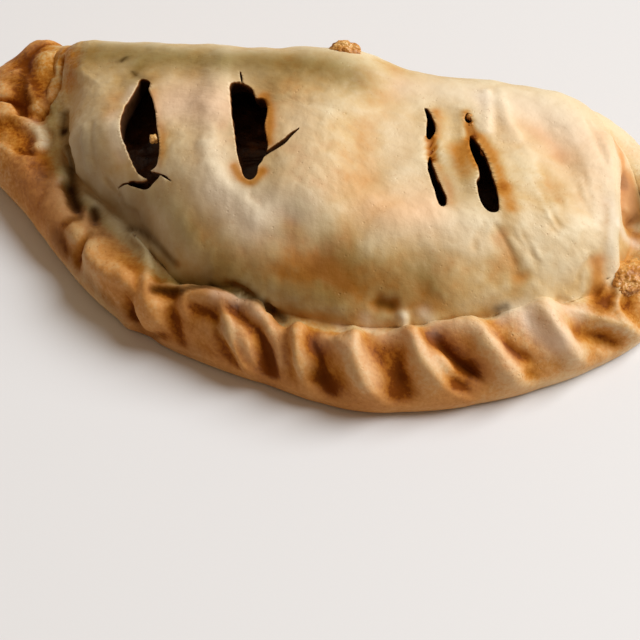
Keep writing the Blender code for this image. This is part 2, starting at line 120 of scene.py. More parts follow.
def pixelRay(pixel):
    right, up, back = shotAxes()
    half = shot["pixels"] / 2
    reach = math.tan(math.radians(shot["view"]) / 2)
    x, y = (pixel[0] - half) / half * reach, (half - pixel[1]) / half * reach
    return Vector(shotPlace()), Vector(right * x + up * y - back).normalized()


def castPath(tree, pixels, spacing):
    # where a path drawn over the photograph meets the dough
    found = []
    for pixel in softPath(pixels, spacing):
        place, _, _, _ = tree.ray_cast(*pixelRay(pixel))
        if place:
            found.append(place[:])
    return np.array(found)


def toPixels(points):
    right, up, back = shotAxes()
    offset = points - shotPlace()
    half = shot["pixels"] / 2
    scale = half / math.tan(math.radians(shot["view"]) / 2) / -(offset @ back)
    return np.stack((half + (offset @ right) * scale, half - (offset @ up) * scale), -1)


# the dough's form, as in the solid, mm

dough = {
    "stations": (
        ((-104.0, 30.0), (-71.5, 20.0)),
        ((-97.0, 7.0), (-66.5, 7.0)),
        ((-74.0, -13.0), (-61.0, -5.0)),
        ((-46.5, -38.0), (-39.5, -19.5)),
        ((-22.0, -49.0), (-19.0, -37.0)),
        ((6.0, -55.0), (6.0, -41.0)),
        ((32.0, -58.0), (30.0, -41.0)),
        ((60.0, -49.0), (54.0, -32.0)),
        ((86.0, -31.0), (79.0, -19.5)),
        ((103.0, -10.0), (88.5, -8.0)),
        ((108.0, 14.0), (92.0, 13.0)),
        ((99.0, 37.0), (87.0, 31.0)),
        ((79.0, 50.0), (71.0, 42.0)),
        ((38.0, 47.0), (36.0, 41.5)),
        ((0.0, 44.0), (0.0, 39.0)),
        ((-45.0, 45.0), (-43.0, 40.0)),
        ((-82.0, 49.0), (-76.0, 42.0)),
        ((-99.0, 44.0), (-80.0, 32.0)),
    ),
    "centre": (2.0, 6.0),
    "spineShare": 0.45,
    "ridgeX": (-80.0, -60.0, -40.0, -15.0, 8.0, 24.0, 48.0, 66.0, 80.0, 95.0),
    "ridgeZ": (26.5, 31.5, 37.5, 43.0, 46.5, 41.0, 39.5, 38.5, 35.5, 29.0),
    "ridgeY": 22.0, "frontFall": 9.5, "fallReach": 50.0, "fallMost": 1.4, "fallCurve": 1.7, "fallRidge": 45.0,
    # round the rim, by distance from the left tip
    "edgeAt": (0.0, 30.0, 60.0, 85.0, 105.0, 125.0, 150.0, 200.0, 240.0, 270.0, 300.0),
    "crestHeight": (15.0, 16.0, 16.0, 16.5, 17.0, 19.5, 18.5, 18.5, 17.5, 17.0, 18.0),
    "creaseHeight": (20.0, 16.5, 15.0, 14.5, 14.0, 13.5, 16.0, 16.0, 16.0, 15.0, 15.0),
    "crestShare": (0.50, 0.52, 0.58, 0.58, 0.43, 0.76, 0.74, 0.74, 0.80, 0.72, 0.60),
    "wallReach": (13.0, 13.0, 15.0, 16.0, 16.0, 19.0, 22.0, 22.0, 20.0, 17.0, 16.0),
    "wallStart": (14.0, -14.0, -12.0, -6.0, -6.0, -8.0, -4.0, 0.0, 8.0, 2.0, -8.0),
    "foldIn": (300.0, 335.0), "foldOut": (478.0, 508.0), "wallSpread": 50.0,
    "foldReach": 21.0, "foldStart": 35.0, "foldWidest": 0.42, "foldJoin": 0.78,
    "foldUnder": 60.0, "foldTuck": 1.3, "foldRise": (0.08, 0.3),
    "edgeWidest": 5.0, "footAngle": 50.0, "footShare": 0.12, "leastHeight": 0.3,
    # ridge at the crest, ridge at the foot, depth of the groove past it
    "pleats": (
        (56.0, 62.0, 0.8), (70.0, 73.0, 1.8), (95.0, 106.0, 1.2), (113.0, 121.0, 2.6),
        (133.0, 144.0, 5.0), (154.0, 159.5, 4.4), (171.0, 180.0, 5.2), (186.0, 201.0, 5.4),
        (207.5, 218.0, 4.6), (226.0, 234.0, 2.8), (247.0, 253.0, 2.2), (263.0, 268.0, 1.6),
        (280.0, 284.0, 0.8),
    ),
    "groovePlace": 0.24, "grooveRise": 0.85, "grooveEase": 0.6, "pleatShare": 0.50, "leanFade": (40.0, 20.0),
    # a groove's share at the widest line and at the crest, where it turns from outward to upward
    "grooveLow": 0.12, "grooveClimb": 0.35, "grooveCrest": 0.75, "crestBlend": 0.10, "grooveFacing": 80.0,
    "grooveBehind": (0.1, 0.95),
    # centre, half lengths, turn, height
    "swells": (
        ((-50.0, -14.0), (9.0, 5.0), 40.0, -3.2),
        ((-38.0, -24.0), (8.0, 4.0), 30.0, -2.4),
        ((34.0, -22.0), (14.0, 5.0), 20.0, 1.8),
        ((22.0, -34.0), (14.0, 6.0), -8.0, -2.2),
        ((66.0, 8.0), (9.0, 20.0), 15.0, -1.6),
        ((-20.0, -16.0), (12.0, 8.0), 25.0, 1.4),
        ((-24.0, 8.0), (5.0, 14.0), 8.0, 1.6),
    ),
    # folds and laps of the two ends: path, half width, height
    "endFolds": (
        (((-96.0, 46.0), (-86.0, 44.0), (-80.0, 36.0)), 6.0, 2.2),
        (((-97.0, 32.0), (-93.0, 24.0)), 6.5, 2.5),
        (((86.0, 0.0), (88.5, -10.0), (89.5, -19.0)), 3.0, 2.2),
        (((83.5, -6.0), (84.5, -13.0), (85.0, -20.0)), 1.8, -1.4),
        (((95.0, 14.0), (90.0, 30.0)), 5.0, 3.0),
        (((86.0, 16.0), (81.0, 30.0)), 2.5, -3.0),
    ),
    "columns": 640, "frontDensity": 2.4, "edgeSamples": 3601, "columnSamples": 1201,
    "baseRings": (0.3, 0.6, 0.88), "rimSteps": 38, "crestStep": 28, "wallSteps": 34, "topRings": 57,
}


def edgeTables():
    positions = np.linspace(0, len(dough["stations"]), dough["edgeSamples"])
    path = roundLoop([pair[0] for pair in dough["stations"]], positions)
    steps = np.linalg.norm(np.diff(path, axis=0), axis=1)
    return positions, np.concatenate(([0.0], np.cumsum(steps)))


edgePositions, edgeLengths = edgeTables()
edgeTotal = edgeLengths[-1]


def edgeAt(distance):
    position = np.interp(np.mod(distance, edgeTotal), edgeLengths, edgePositions)
    position = np.mod(position, len(dough["stations"]))
    return (roundLoop([pair[0] for pair in dough["stations"]], position),
            roundLoop([pair[1] for pair in dough["stations"]], position))


def alongEdge(name, distance):
    values = dough[name]
    return smoothThrough(dough["edgeAt"] + (edgeTotal,), values + (values[0],), np.mod(distance, edgeTotal))


def foldWeight(distance, spread=0.0):
    distance = np.mod(distance, edgeTotal)
    rise = ramp(dough["foldIn"][0] - spread / 4, dough["foldIn"][1] + spread, distance)
    return rise - ramp(dough["foldOut"][0] - spread, dough["foldOut"][1] + spread / 4, distance)


def domeTop(x, y):
    ridge = smoothThrough(dough["ridgeX"], dough["ridgeZ"], x)
    fall = np.clip((dough["ridgeY"] - y) / dough["fallReach"], 0.0, dough["fallMost"])
    height = ridge - dough["frontFall"] * fall ** dough["fallCurve"] * ridge / dough["fallRidge"]
    for centre, halves, turn, lift in dough["swells"]:
        c, s = math.cos(math.radians(turn)), math.sin(math.radians(turn))
        dx, dy = x - centre[0], y - centre[1]
        along, across = (dx * c + dy * s) / halves[0], (dy * c - dx * s) / halves[1]
        height = height + lift * np.exp(-(along**2 + across**2))
    return height


def pleatFields(station, pleatShare):
    # the grooves' depth between the pleats, and the pleats' lean
    starts, feet, depths = (np.array(column) for column in zip(*dough["pleats"]))
    leans = feet - starts
    before, after = dough["leanFade"]
    lean = np.interp(station, starts, leans)
    lean = np.where(station < starts[0], leans[0] * ramp(starts[0] - before, starts[0], station), lean)
    fading = 1 - ramp(starts[-1], starts[-1] + after, station)
    lean = np.where(station > starts[-1], leans[-1] * fading, lean)
    k = np.clip(np.searchsorted(starts, station, side="right") - 1, 0, len(starts) - 2)
    phase = np.clip((station - starts[k]) / (starts[k + 1] - starts[k]), 0.0, 1.0)
    bottom = dough["groovePlace"]
    falling = 0.5 - 0.5 * np.cos(np.pi * np.clip(phase / bottom, 0, 1))
    rising = np.clip((phase - bottom) / (1 - bottom), 0, 1)
    rising = 1 - rising ** dough["grooveRise"] * (1 + dough["grooveEase"] * (1 - rising))
    share = np.where(phase < bottom, falling, rising)
    share = np.where((station > starts[0]) & (station < starts[-1]), share, 0.0)
    return share * depths[k] * pleatShare, lean


def stroke(x, y, path, halfWidth, height):
    nearest = np.full(np.shape(x), 1e9)
    for (ax, ay), (bx, by) in zip(path, path[1:]):
        dx, dy = bx - ax, by - ay
        share = np.clip(((x - ax) * dx + (y - ay) * dy) / (dx * dx + dy * dy), 0, 1)
        nearest = np.minimum(nearest, np.hypot(x - ax - share * dx, y - ay - share * dy))
    return height * np.exp(-(nearest / halfWidth) ** 2)


def rimSection(step, distance):
    # inward share, height and pleat share at a step up the rim, 0 at the foot
    crestStep, rimSteps = dough["crestStep"], dough["rimSteps"]
    fold = foldWeight(distance)
    edge, _ = edgeAt(distance)
    crest, crease = alongEdge("crestHeight", distance), alongEdge("creaseHeight", distance)
    crestShare = alongEdge("crestShare", distance)
    if step <= crestStep:
        angle = math.radians(mix(-dough["footAngle"], 90.0, step / crestStep))
        if angle < 0:
            under = 1 + math.sin(angle) / math.sin(math.radians(dough["footAngle"]))
            share, pleat = dough["footShare"] * (1 - under), 1.0
            height = dough["edgeWidest"] * under + 0 * distance
        else:
            share = crestShare * (1 - math.cos(angle))
            height = dough["edgeWidest"] + (crest - dough["edgeWidest"]) * math.sin(angle)
            pleat = 1 - math.sin(angle)
    else:
        down = (step - crestStep) / (rimSteps - crestStep)
        share = mix(crestShare, 1.0, down)
        height = crest - (crest - crease) * (0.5 - 0.5 * math.cos(math.pi * down))
        pleat = 0.0
    ridge = smoothThrough(dough["ridgeX"], dough["ridgeZ"], edge[..., 0])
    turn = mix(-dough["foldUnder"], dough["foldStart"], step / rimSteps)
    if turn < 0:
        lift = math.sin(math.radians(turn)) / math.sin(math.radians(dough["foldUnder"]))
        foldShare, foldHeight = dough["foldTuck"] * lift * lift, dough["foldWidest"] * ridge * (1 + lift)
    else:
        lift = math.sin(math.radians(turn)) / math.sin(math.radians(dough["foldStart"]))
        foldShare = (1 - math.cos(math.radians(turn))) / (1 - math.cos(math.radians(dough["foldStart"])))
        foldHeight = ridge * mix(dough["foldWidest"], dough["foldJoin"], lift)
    return mix(share, foldShare, fold), mix(height, foldHeight, fold), pleat


def rimRow(step, station, pleatShare):
    crestStep, rimSteps = dough["crestStep"], dough["rimSteps"]
    groove, lean = pleatFields(station, pleatShare)
    _, _, pleat = rimSection(step, station)
    distance = station + lean * pleat
    share, height, pleat = rimSection(step, distance)
    if step <= crestStep:
        reach = mix(dough["grooveLow"], 1.0, min(1.0, (1 - pleat) / dough["grooveClimb"]))
        reach = mix(reach, dough["grooveCrest"], ramp(dough["crestBlend"], 0.0, pleat))
        facing = math.radians(dough["grooveFacing"] * (1 - pleat))
        out, up = math.cos(facing), math.sin(facing)
    else:
        reach = dough["grooveCrest"] * (1 - (step - crestStep) / (rimSteps - crestStep))
        out, up = dough["grooveBehind"]
    outer, inner = edgeAt(distance)
    width = np.linalg.norm(inner - outer, axis=-1)
    share = share + groove * reach * out / width
    height = height - groove * reach * up
    plan = mix(outer, inner, np.asarray(share)[..., None])
    raised = ramp(*dough["foldRise"], step / crestStep)
    if raised > 0:
        ends = sum(stroke(plan[..., 0], plan[..., 1], *fold) for fold in dough["endFolds"])
        height = height + ends * (1 - foldWeight(distance)) * raised
    return plan, np.maximum(height, 0.0 if step == 0 else dough["leastHeight"])


def wallRow(share, station):
    fold = foldWeight(station, dough["wallSpread"])
    _, base = edgeAt(station)
    _, baseHeight, _ = rimSection(dough["rimSteps"], station)
    start = np.radians(mix(alongEdge("wallStart", station), dough["foldStart"], fold))
    reach = mix(alongEdge("wallReach", station), dough["foldReach"], fold)
    angle = mix(start, math.pi / 2, share)
    inward = reach * (np.cos(start) - np.cos(angle))
    lift = (np.sin(angle) - np.sin(start)) / (1 - np.sin(start))
    target = np.stack((dough["spineShare"] * base[..., 0], np.full(base.shape[:-1], dough["centre"][1])), -1)
    heading = target - base
    heading = heading / np.linalg.norm(heading, axis=-1, keepdims=True)
    plan = base + heading * inward[..., None]
    return plan, mix(baseHeight, domeTop(plan[..., 0], plan[..., 1]), lift)


def topRow(share, station):
    shoulder, _ = wallRow(1.0, station)
    plan = mix(np.array(dough["centre"]), shoulder, share)
    return plan, domeTop(plan[..., 0], plan[..., 1])


def columnStations(count):
    samples = np.linspace(0, edgeTotal, dough["columnSamples"])
    density = mix(dough["frontDensity"], 1.0, foldWeight(samples))
    filled = np.concatenate(([0.0], np.cumsum((density[1:] + density[:-1]) / 2)))
    return np.interp(np.arange(count) / count * filled[-1], filled, samples)


def doughRows(pleatShare):
    # the ball's rings from the base up: plan points and heights
    stations = columnStations(dough["columns"])
    foot, _ = rimRow(0, stations, pleatShare)
    centre = np.array(dough["centre"])
    steps, walls, rings = dough["rimSteps"], dough["wallSteps"], dough["topRings"]
    rows = [(mix(centre, foot, share), np.zeros(len(stations))) for share in dough["baseRings"]]
    rows += [rimRow(step, stations, pleatShare) for step in range(steps + 1)]
    rows += [wallRow(step / walls, stations) for step in range(1, walls + 1)]
    rows += [topRow(1 - ring / rings, stations) for ring in range(1, rings)]
    return rows


# meshes and pieces

def meshFrom(shape, name):
    mesh = bpy.data.meshes.new(name)
    shape.to_mesh(mesh)
    shape.free()
    return mesh


def linked(name, data):
    piece = bpy.data.objects.new(name, data)
    bpy.context.scene.collection.objects.link(piece)
    return piece


def meshPoints(mesh):
    points = np.zeros(len(mesh.vertices) * 3)
    mesh.vertices.foreach_get("co", points)
    return points.reshape(-1, 3)


def meshNormals(mesh):
    normals = np.zeros(len(mesh.vertices) * 3)
    mesh.vertices.foreach_get("normal", normals)
    return normals.reshape(-1, 3)


def setPoints(mesh, points):
    mesh.vertices.foreach_set("co", points.ravel())
    mesh.update()


def treeOf(mesh):
    shape = bmesh.new()
    shape.from_mesh(mesh)
    tree = BVHTree.FromBMesh(shape)
    shape.free()
    return tree


def settle(piece, material):
    # from the plan's millimetres to the frame's metres, with its material
    mesh = piece.data
    mesh.transform(Matrix.Scale(millimetre, 4) @ Matrix.Translation(-Vector((*planMiddle, 0.0))))
    mesh.shade_smooth()
    mesh.materials.clear()
    mesh.materials.append(material)
    print(piece.name, "made of", sum(len(face.vertices) - 2 for face in mesh.polygons), "triangles")


def wrapBall(rows, bottom, top):
    # a ball whose rings are moved, from the lowest up, to rows of plan points and heights
    shape = bmesh.new()
    count = len(rows[0][1])
    bmesh.ops.create_uvsphere(shape, u_segments=count, v_segments=len(rows) + 1, radius=1.0)
    mesh = meshFrom(shape, "ball")
    ball = meshPoints(mesh)
    climb = np.arcsin(np.clip(ball[:, 2], -1, 1)) + math.pi / 2
    row = np.round(climb / math.pi * (len(rows) + 1)).astype(int) - 1
    column = np.round(np.arctan2(ball[:, 1], ball[:, 0]) / (2 * math.pi) * count).astype(int) % count
    grid = np.stack([np.column_stack((plan, height)) for plan, height in rows])
    places = grid[np.clip(row, 0, len(rows) - 1), column]
    places[ball[:, 2] > 0.999999] = top  # the poles
    places[ball[:, 2] < -0.999999] = bottom
    setPoints(mesh, places)
    return mesh, row


def edgesOf(mesh):
    ends = np.zeros(len(mesh.edges) * 2, int)
    mesh.edges.foreach_get("vertices", ends)
    return ends.reshape(-1, 2)


def relax(points, edges, times):
    # each point moved to the middle of its neighbours, again and again
    ends = np.concatenate((edges[:, 0], edges[:, 1]))
    others = np.concatenate((edges[:, 1], edges[:, 0]))
    counts = np.bincount(ends, minlength=len(points))
    for _ in range(times):
        points = np.stack([np.bincount(ends, points[others, k], len(points)) / counts for k in range(3)], -1)
    return points


# what the crimp and the folds do beyond the plain form, drawn over the photograph:
# lift mm, half width mm, pixel path
forms = {
    "archCrest": (3.2, 3.6, ((186, 298), (206, 296), (224, 299), (240, 304), (254, 312))),
    "fillH": (1.0, 2.6, ((534, 316), (544, 330), (554, 346))),
    "archDip": (-2.2, 3.0, ((276, 318), (284, 320))),
    "shelfSink": (-0.8, 6.0, ((108, 232), (126, 246), (144, 262), (154, 272))),
    "crestE": (1.2, 3.0, ((404, 334), (412, 333))),
    "crestF": (3.0, 3.4, ((436, 331), (452, 329), (470, 326))),
    "crestG": (2.2, 4.0, ((508, 319), (522, 316), (536, 313))),
    "crestH": (1.8, 3.4, ((552, 308), (570, 303))),
    "crestDipD": (-1.8, 3.0, ((318, 327), (334, 330), (344, 332))),
    "scoopC": (-2.0, 3.6, ((320, 352), (328, 368), (336, 386))),
    "scoopD": (-1.8, 3.4, ((390, 352), (397, 370), (404, 388))),
    "scoopF": (-1.4, 3.6, ((448, 342), (464, 356), (478, 370))),
    "endRidge": (1.8, 3.2, ((606, 140), (610, 180), (611, 215), (611, 250), (612, 280), (615, 304))),
    "endPocket": (-4.5, 3.6, ((632, 186), (632, 210), (638, 230))),
    "leftValley": (1.0, 3.0, ((53, 126), (56, 142), (60, 160), (64, 180))),
    "leftHollow": (1.4, 2.4, ((18, 74), (24, 86), (29, 98))),
    "shelfRise": (2.4, 3.4, ((150, 262), (162, 270), (174, 276))),
    "wallFoot": (1.6, 2.3, ((130, 229), (144, 238), (158, 249), (172, 262))),
    "cornerFill": (1.2, 5.0, ((56, 49), (70, 46), (86, 44))),
    "cavityHigh": (-4.5, 2.0, ((70, 186), (73, 195), (76, 204))),
    "cavityLow": (-2.2, 1.4, ((94, 211), (96, 219))),
    "betweenRidge": (0.9, 3.4, ((206, 146), (214, 170), (232, 194), (254, 214))),
    "besideRidge": (-0.9, 4.0, ((178, 192), (190, 210), (208, 226))),
    "middlePillow": (0.8, 4.5, ((372, 204), (398, 210), (424, 206))),
    "belowPillow": (-0.7, 4.0, ((352, 226), (392, 236), (430, 232))),
    "slitTrough": (-0.8, 2.6, ((452, 116), (456, 150), (464, 190))),
    "rightTrough": (-0.9, 3.0, ((500, 236), (510, 256), (520, 274))),
    "rightRidge": (0.7, 2.6, ((500, 104), (512, 128), (524, 156), (538, 186), (550, 214))),
    "farTrough": (-0.7, 3.4, ((548, 128), (562, 152), (574, 180), (582, 206))),
    "leftBand": (1.2, 5.0, ((24, 170), (34, 196), (50, 222))),
    "outerLobe": (1.2, 5.0, ((92, 252), (106, 270), (122, 286))),
}

# plump strands of dough with a flat top: lift mm, half widths mm at both ends, pixel path
strands = {
    "tongue": (2.4, (6.0, 2.6), ((39, 52), (40, 66), (39, 82), (38, 98), (37, 108))),
    "thumbPad": (2.4, (4.4, 5.0), ((147, 304), (152, 318))),
    "ropeA": (2.8, (2.8, 3.4), ((228, 324), (238, 336), (247, 350), (252, 362))),
    "ropeC": (2.4, (2.2, 3.0), ((297, 328), (302, 346), (304, 362))),
    "ropeD": (2.8, (4.4, 5.4), ((352, 344), (363, 360), (372, 378))),
    "ropeE": (2.6, (3.4, 4.4), ((412, 342), (424, 354), (438, 368))),
    "ropeF": (2.6, (4.4, 5.0), ((492, 342), (503, 356), (512, 366))),
    "ropeH": (2.6, (4.0, 4.6), ((552, 320), (564, 336), (574, 350))),
}

# where folds run into each other: share, half width mm, pixel path
softened = {
    "corner": (1.0, 6.0, ((61, 44), (64, 60), (65, 78), (66, 90))),
    "valley": (0.8, 3.5, ((62, 96), (62, 112), (64, 130), (66, 150))),
    "endGroove": (1.0, 4.2, ((598, 268), (602, 284), (606, 300))),
    "endPocket": (1.0, 4.6, ((634, 190), (634, 214), (637, 238))),
    "domeFoot": (0.9, 3.5, ((112, 222), (130, 234), (148, 250), (164, 266))),
}

# raised dough with an edge: lift mm, softness in pixels, outline in pixels
laps = {
    "leftFlap": (1.5, 3.2, (
        (-6, 103), (12, 104), (18, 110), (22, 117), (32, 121), (41, 127), (46, 136), (44, 147),
        (36, 153), (32, 149), (36, 141), (31, 133), (20, 125), (10, 119), (-6, 120))),
    "flapInside": (-0.8, 4.0, (
        (-6, 124), (10, 122), (20, 128), (29, 135), (33, 142), (31, 148), (18, 147), (-6, 140))),
    "crestLobe": (1.8, 5.0, (
        (84, 234), (92, 248), (104, 262), (122, 268), (134, 276), (134, 290), (120, 286), (102, 278),
        (90, 268), (82, 252))),
    "lowLobe": (1.8, 3.0, ((60, 228), (74, 221), (84, 230), (82, 244), (70, 240))),
}

# grooves and thin ridges: lift mm, half width mm, pixel path
creases = {
    "behindArch": (-3.0, 1.3, (
        (154, 290), (166, 293), (180, 291), (190, 286), (206, 284), (226, 286), (241, 291), (252, 298),
        (266, 306), (279, 317), (290, 322))),
    "archLip": (1.2, 1.3, (
        (182, 294), (192, 290), (208, 290), (226, 291), (240, 295), (252, 302), (262, 312), (270, 322))),
    "padCrescent": (-2.4, 1.2, ((131, 308), (134, 320), (141, 331), (151, 337), (164, 336))),
    "padSide": (-1.4, 1.6, ((173, 300), (173, 316), (176, 334), (181, 346))),
    "padBand": (1.0, 2.0, ((126, 322), (135, 337), (148, 347), (166, 350))),
    "underArch": (-3.0, 1.9, ((188, 304), (202, 308), (214, 314), (220, 326))),
    "grooveA": (-3.6, 1.6, ((228, 305), (242, 312), (253, 323), (261, 338), (265, 354), (267, 368))),
    "ropeASide": (-0.9, 1.8, ((213, 322), (218, 336), (224, 350), (231, 362))),
    "grooveB": (-0.8, 1.8, ((282, 336), (286, 352), (290, 368), (294, 380))),
    "grooveC": (-3.2, 1.6, ((309, 341), (314, 352), (320, 366), (325, 380), (329, 390))),
    "crestD": (0.8, 1.8, ((310, 337), (324, 336), (340, 341), (350, 344))),
    "grooveD": (-2.4, 1.8, ((374, 350), (381, 360), (386, 370), (391, 384))),
    "grooveE": (-3.2, 1.9, ((406, 344), (405, 354), (403, 364), (401, 376))),
    "grooveF": (-4.4, 1.5, ((434, 336), (443, 347), (453, 357), (464, 366), (476, 374))),
    "crestFLip": (1.2, 1.3, ((428, 327), (442, 323), (456, 322), (470, 323), (483, 328), (492, 335))),
    "grooveG": (-3.4, 1.3, ((492, 331), (502, 338), (510, 347), (518, 353), (528, 358))),
    "pocketG": (-1.4, 2.0, ((527, 312), (532, 319), (542, 319))),
    "crestGLip": (0.9, 1.4, ((546, 312), (556, 322), (566, 334))),
    "grooveH": (-0.8, 1.7, ((538, 326), (548, 338), (556, 350))),
    "pocketH": (-3.0, 2.0, ((579, 333), (592, 338), (606, 342), (618, 347))),
    "pocketHTop": (-1.8, 2.4, ((584, 324), (598, 329), (612, 336))),
    "crestHLip": (1.4, 1.6, ((558, 304), (575, 308), (592, 312), (608, 318), (625, 326), (640, 334))),
    "rimFoot": (-1.4, 1.1, ((540, 304), (560, 302), (580, 307), (600, 314), (618, 318))),
    "slit3Link": (-1.6, 0.9, ((430, 138), (431, 148), (431, 158))),
    "slit4Link": (-1.0, 0.9, ((469, 122), (471, 136))),
    "besideLeak": (-1.6, 1.2, ((619, 314), (624, 309), (629, 305))),
    "notchLeft": (-2.6, 1.6, ((80, 238), (79, 250), (76, 264))),
    "lowLobeRoot": (-1.6, 1.2, ((62, 224), (70, 219), (78, 216))),
    "domeFoot": (-0.8, 1.2, ((126, 228), (138, 230), (149, 237), (160, 247), (168, 256), (175, 265))),
    "pinchRidge": (1.6, 1.7, ((135, 236), (141, 250), (147, 266), (147, 284))),
    "pinchSide": (-0.7, 1.8, ((152, 256), (158, 268), (160, 280))),
    "tongueEdge": (-2.2, 0.9, ((61, 60), (60, 72), (58, 84), (53, 94), (47, 102), (44, 111), (39, 118))),
    "flapEdge": (-2.2, 1.1, ((-4, 100), (9, 101), (18, 105), (22, 114))),
    "flapFoot": (-1.2, 1.2, ((49, 132), (50, 142), (44, 152))),
    "pocketFold": (-1.3, 1.1, ((14, 148), (24, 151), (34, 151))),
    "domeSide": (-1.6, 1.1, ((65, 114), (65, 130), (68, 148), (71, 164), (74, 180))),
    "crestNub": (1.4, 1.6, ((352, 330), (356, 334))),
    "nubMid": (1.2, 1.2, ((403, 316), (403, 326))),
    "archNub": (1.4, 1.2, ((257, 300), (258, 306))),
    "domePit": (-1.4, 2.0, ((380, 304), (390, 306))),
}

# cracks and wrinkles of the skin: lift mm, half width mm, pixel path
cracks = {
    "dash": (-0.5, 0.7, ((250, 195), (256, 200), (261, 204))),
    "lowLeft": (-0.6, 0.8, ((106, 180), (114, 190), (121, 197), (124, 206), (136, 214))),
    "sideWrinkle": (-0.3, 0.8, ((92, 122), (92, 146), (95, 168))),
    "sideRidge": (0.3, 1.0, ((84, 126), (84, 150), (88, 172))),
    "wrinkleA": (-0.35, 0.7, ((495, 118), (497, 128), (498, 140))),
    "wrinkleB": (-0.32, 0.9, (
        (508, 126), (518, 146), (527, 162), (534, 177), (544, 194), (552, 212), (560, 226))),
    "wrinkleI": (-0.15, 1.0, ((534, 196), (544, 214), (556, 232))),
    "wrinkleJ": (-0.3, 0.9, ((572, 164), (578, 188), (590, 214))),
    "wrinkleK": (-0.35, 0.75, ((586, 120), (598, 142), (604, 160))),
    "wrinkleL": (-0.22, 0.9, ((516, 238), (528, 252), (536, 268))),
    "wrinkleC": (-0.30, 0.75, ((560, 128), (572, 148), (584, 176), (592, 206))),
    "wrinkleD": (-0.30, 0.75, ((602, 146), (610, 172), (611, 204))),
    "wrinkleE": (-0.35, 0.75, ((484, 224), (476, 238), (474, 248))),
    "wrinkleF": (-0.30, 0.75, ((496, 226), (508, 246), (514, 262))),
    "wrinkleG": (-0.25, 0.75, ((524, 236), (532, 252), (538, 262))),
    "wrinkleH": (-0.30, 0.75, ((590, 258), (582, 268), (578, 280))),
    "ridgeAbove": (0.7, 1.0, ((486, 92), (488, 112), (486, 130))),
    "ridgeBeside": (0.5, 1.2, ((500, 90), (504, 112), (516, 138))),
}


# how a stroke lies on the dough: its steps in pixels, at least and for each mm of half width,
# its reach in half widths, and the power that makes its top round or flat
laying = {"leastStep": 2.0, "step": 1.4, "reach": 2.6, "round": 2.0, "flat": 3.5}


def strokeLift(points, tree, strokes, squareness=laying["round"]):
    lift = np.zeros(len(points))
    for height, halfWidth, path in strokes.values():
        widest = np.max(halfWidth)
        track = castPath(tree, path, max(laying["leastStep"], laying["step"] * widest))
        if not len(track):
            continue
        widths = np.linspace(*np.broadcast_to(halfWidth, 2), len(track))
        reach = laying["reach"] * widest
        near = np.all((points > track.min(0) - reach) & (points < track.max(0) + reach), axis=1)
        which = np.nonzero(near)[0]
        gaps = np.min(np.linalg.norm(points[which, None] - track[None], axis=-1) / widths, axis=1)
        lift[which] += height * np.exp(-gaps**squareness)
    return lift


def paint(points, tree, strokes):
    return np.clip(strokeLift(points, tree, strokes), 0.0, 1.0)


def insideBy(pixels, outline):
    # how far in each pixel is, negative outside
    outline = np.asarray(outline, float)
    nearest = np.full(len(pixels), 1e9)
    inside = np.zeros(len(pixels), bool)
    for a, b in zip(outline, np.roll(outline, -1, axis=0)):
        step = b - a
        share = np.clip(((pixels - a) @ step) / (step @ step), 0, 1)
        nearest = np.minimum(nearest, np.linalg.norm(pixels - a - share[:, None] * step, axis=-1))
        crosses = (a[1] > pixels[:, 1]) != (b[1] > pixels[:, 1])
        where = a[0] + (pixels[:, 1] - a[1]) * step[0] / (step[1] if step[1] else 1e-9)
        inside ^= crosses & (pixels[:, 0] < where)
    return np.where(inside, nearest, -nearest)


def lapLift(points, normals, outlines):
    lift = np.zeros(len(points))
    pixels = toPixels(points)
    facing = ramp(0.05, 0.3, normals @ shotAxes()[2])  # none where the dough faces away
    for height, soft, outline in outlines.values():
        low, high = np.min(outline, axis=0) - 2 * soft, np.max(outline, axis=0) + 2 * soft
        which = np.nonzero(np.all((pixels > low) & (pixels < high), axis=1) & (facing > 0))[0]
        lift[which] += height * ramp(-soft, soft, insideBy(pixels[which], outline)) * facing[which]
    return lift


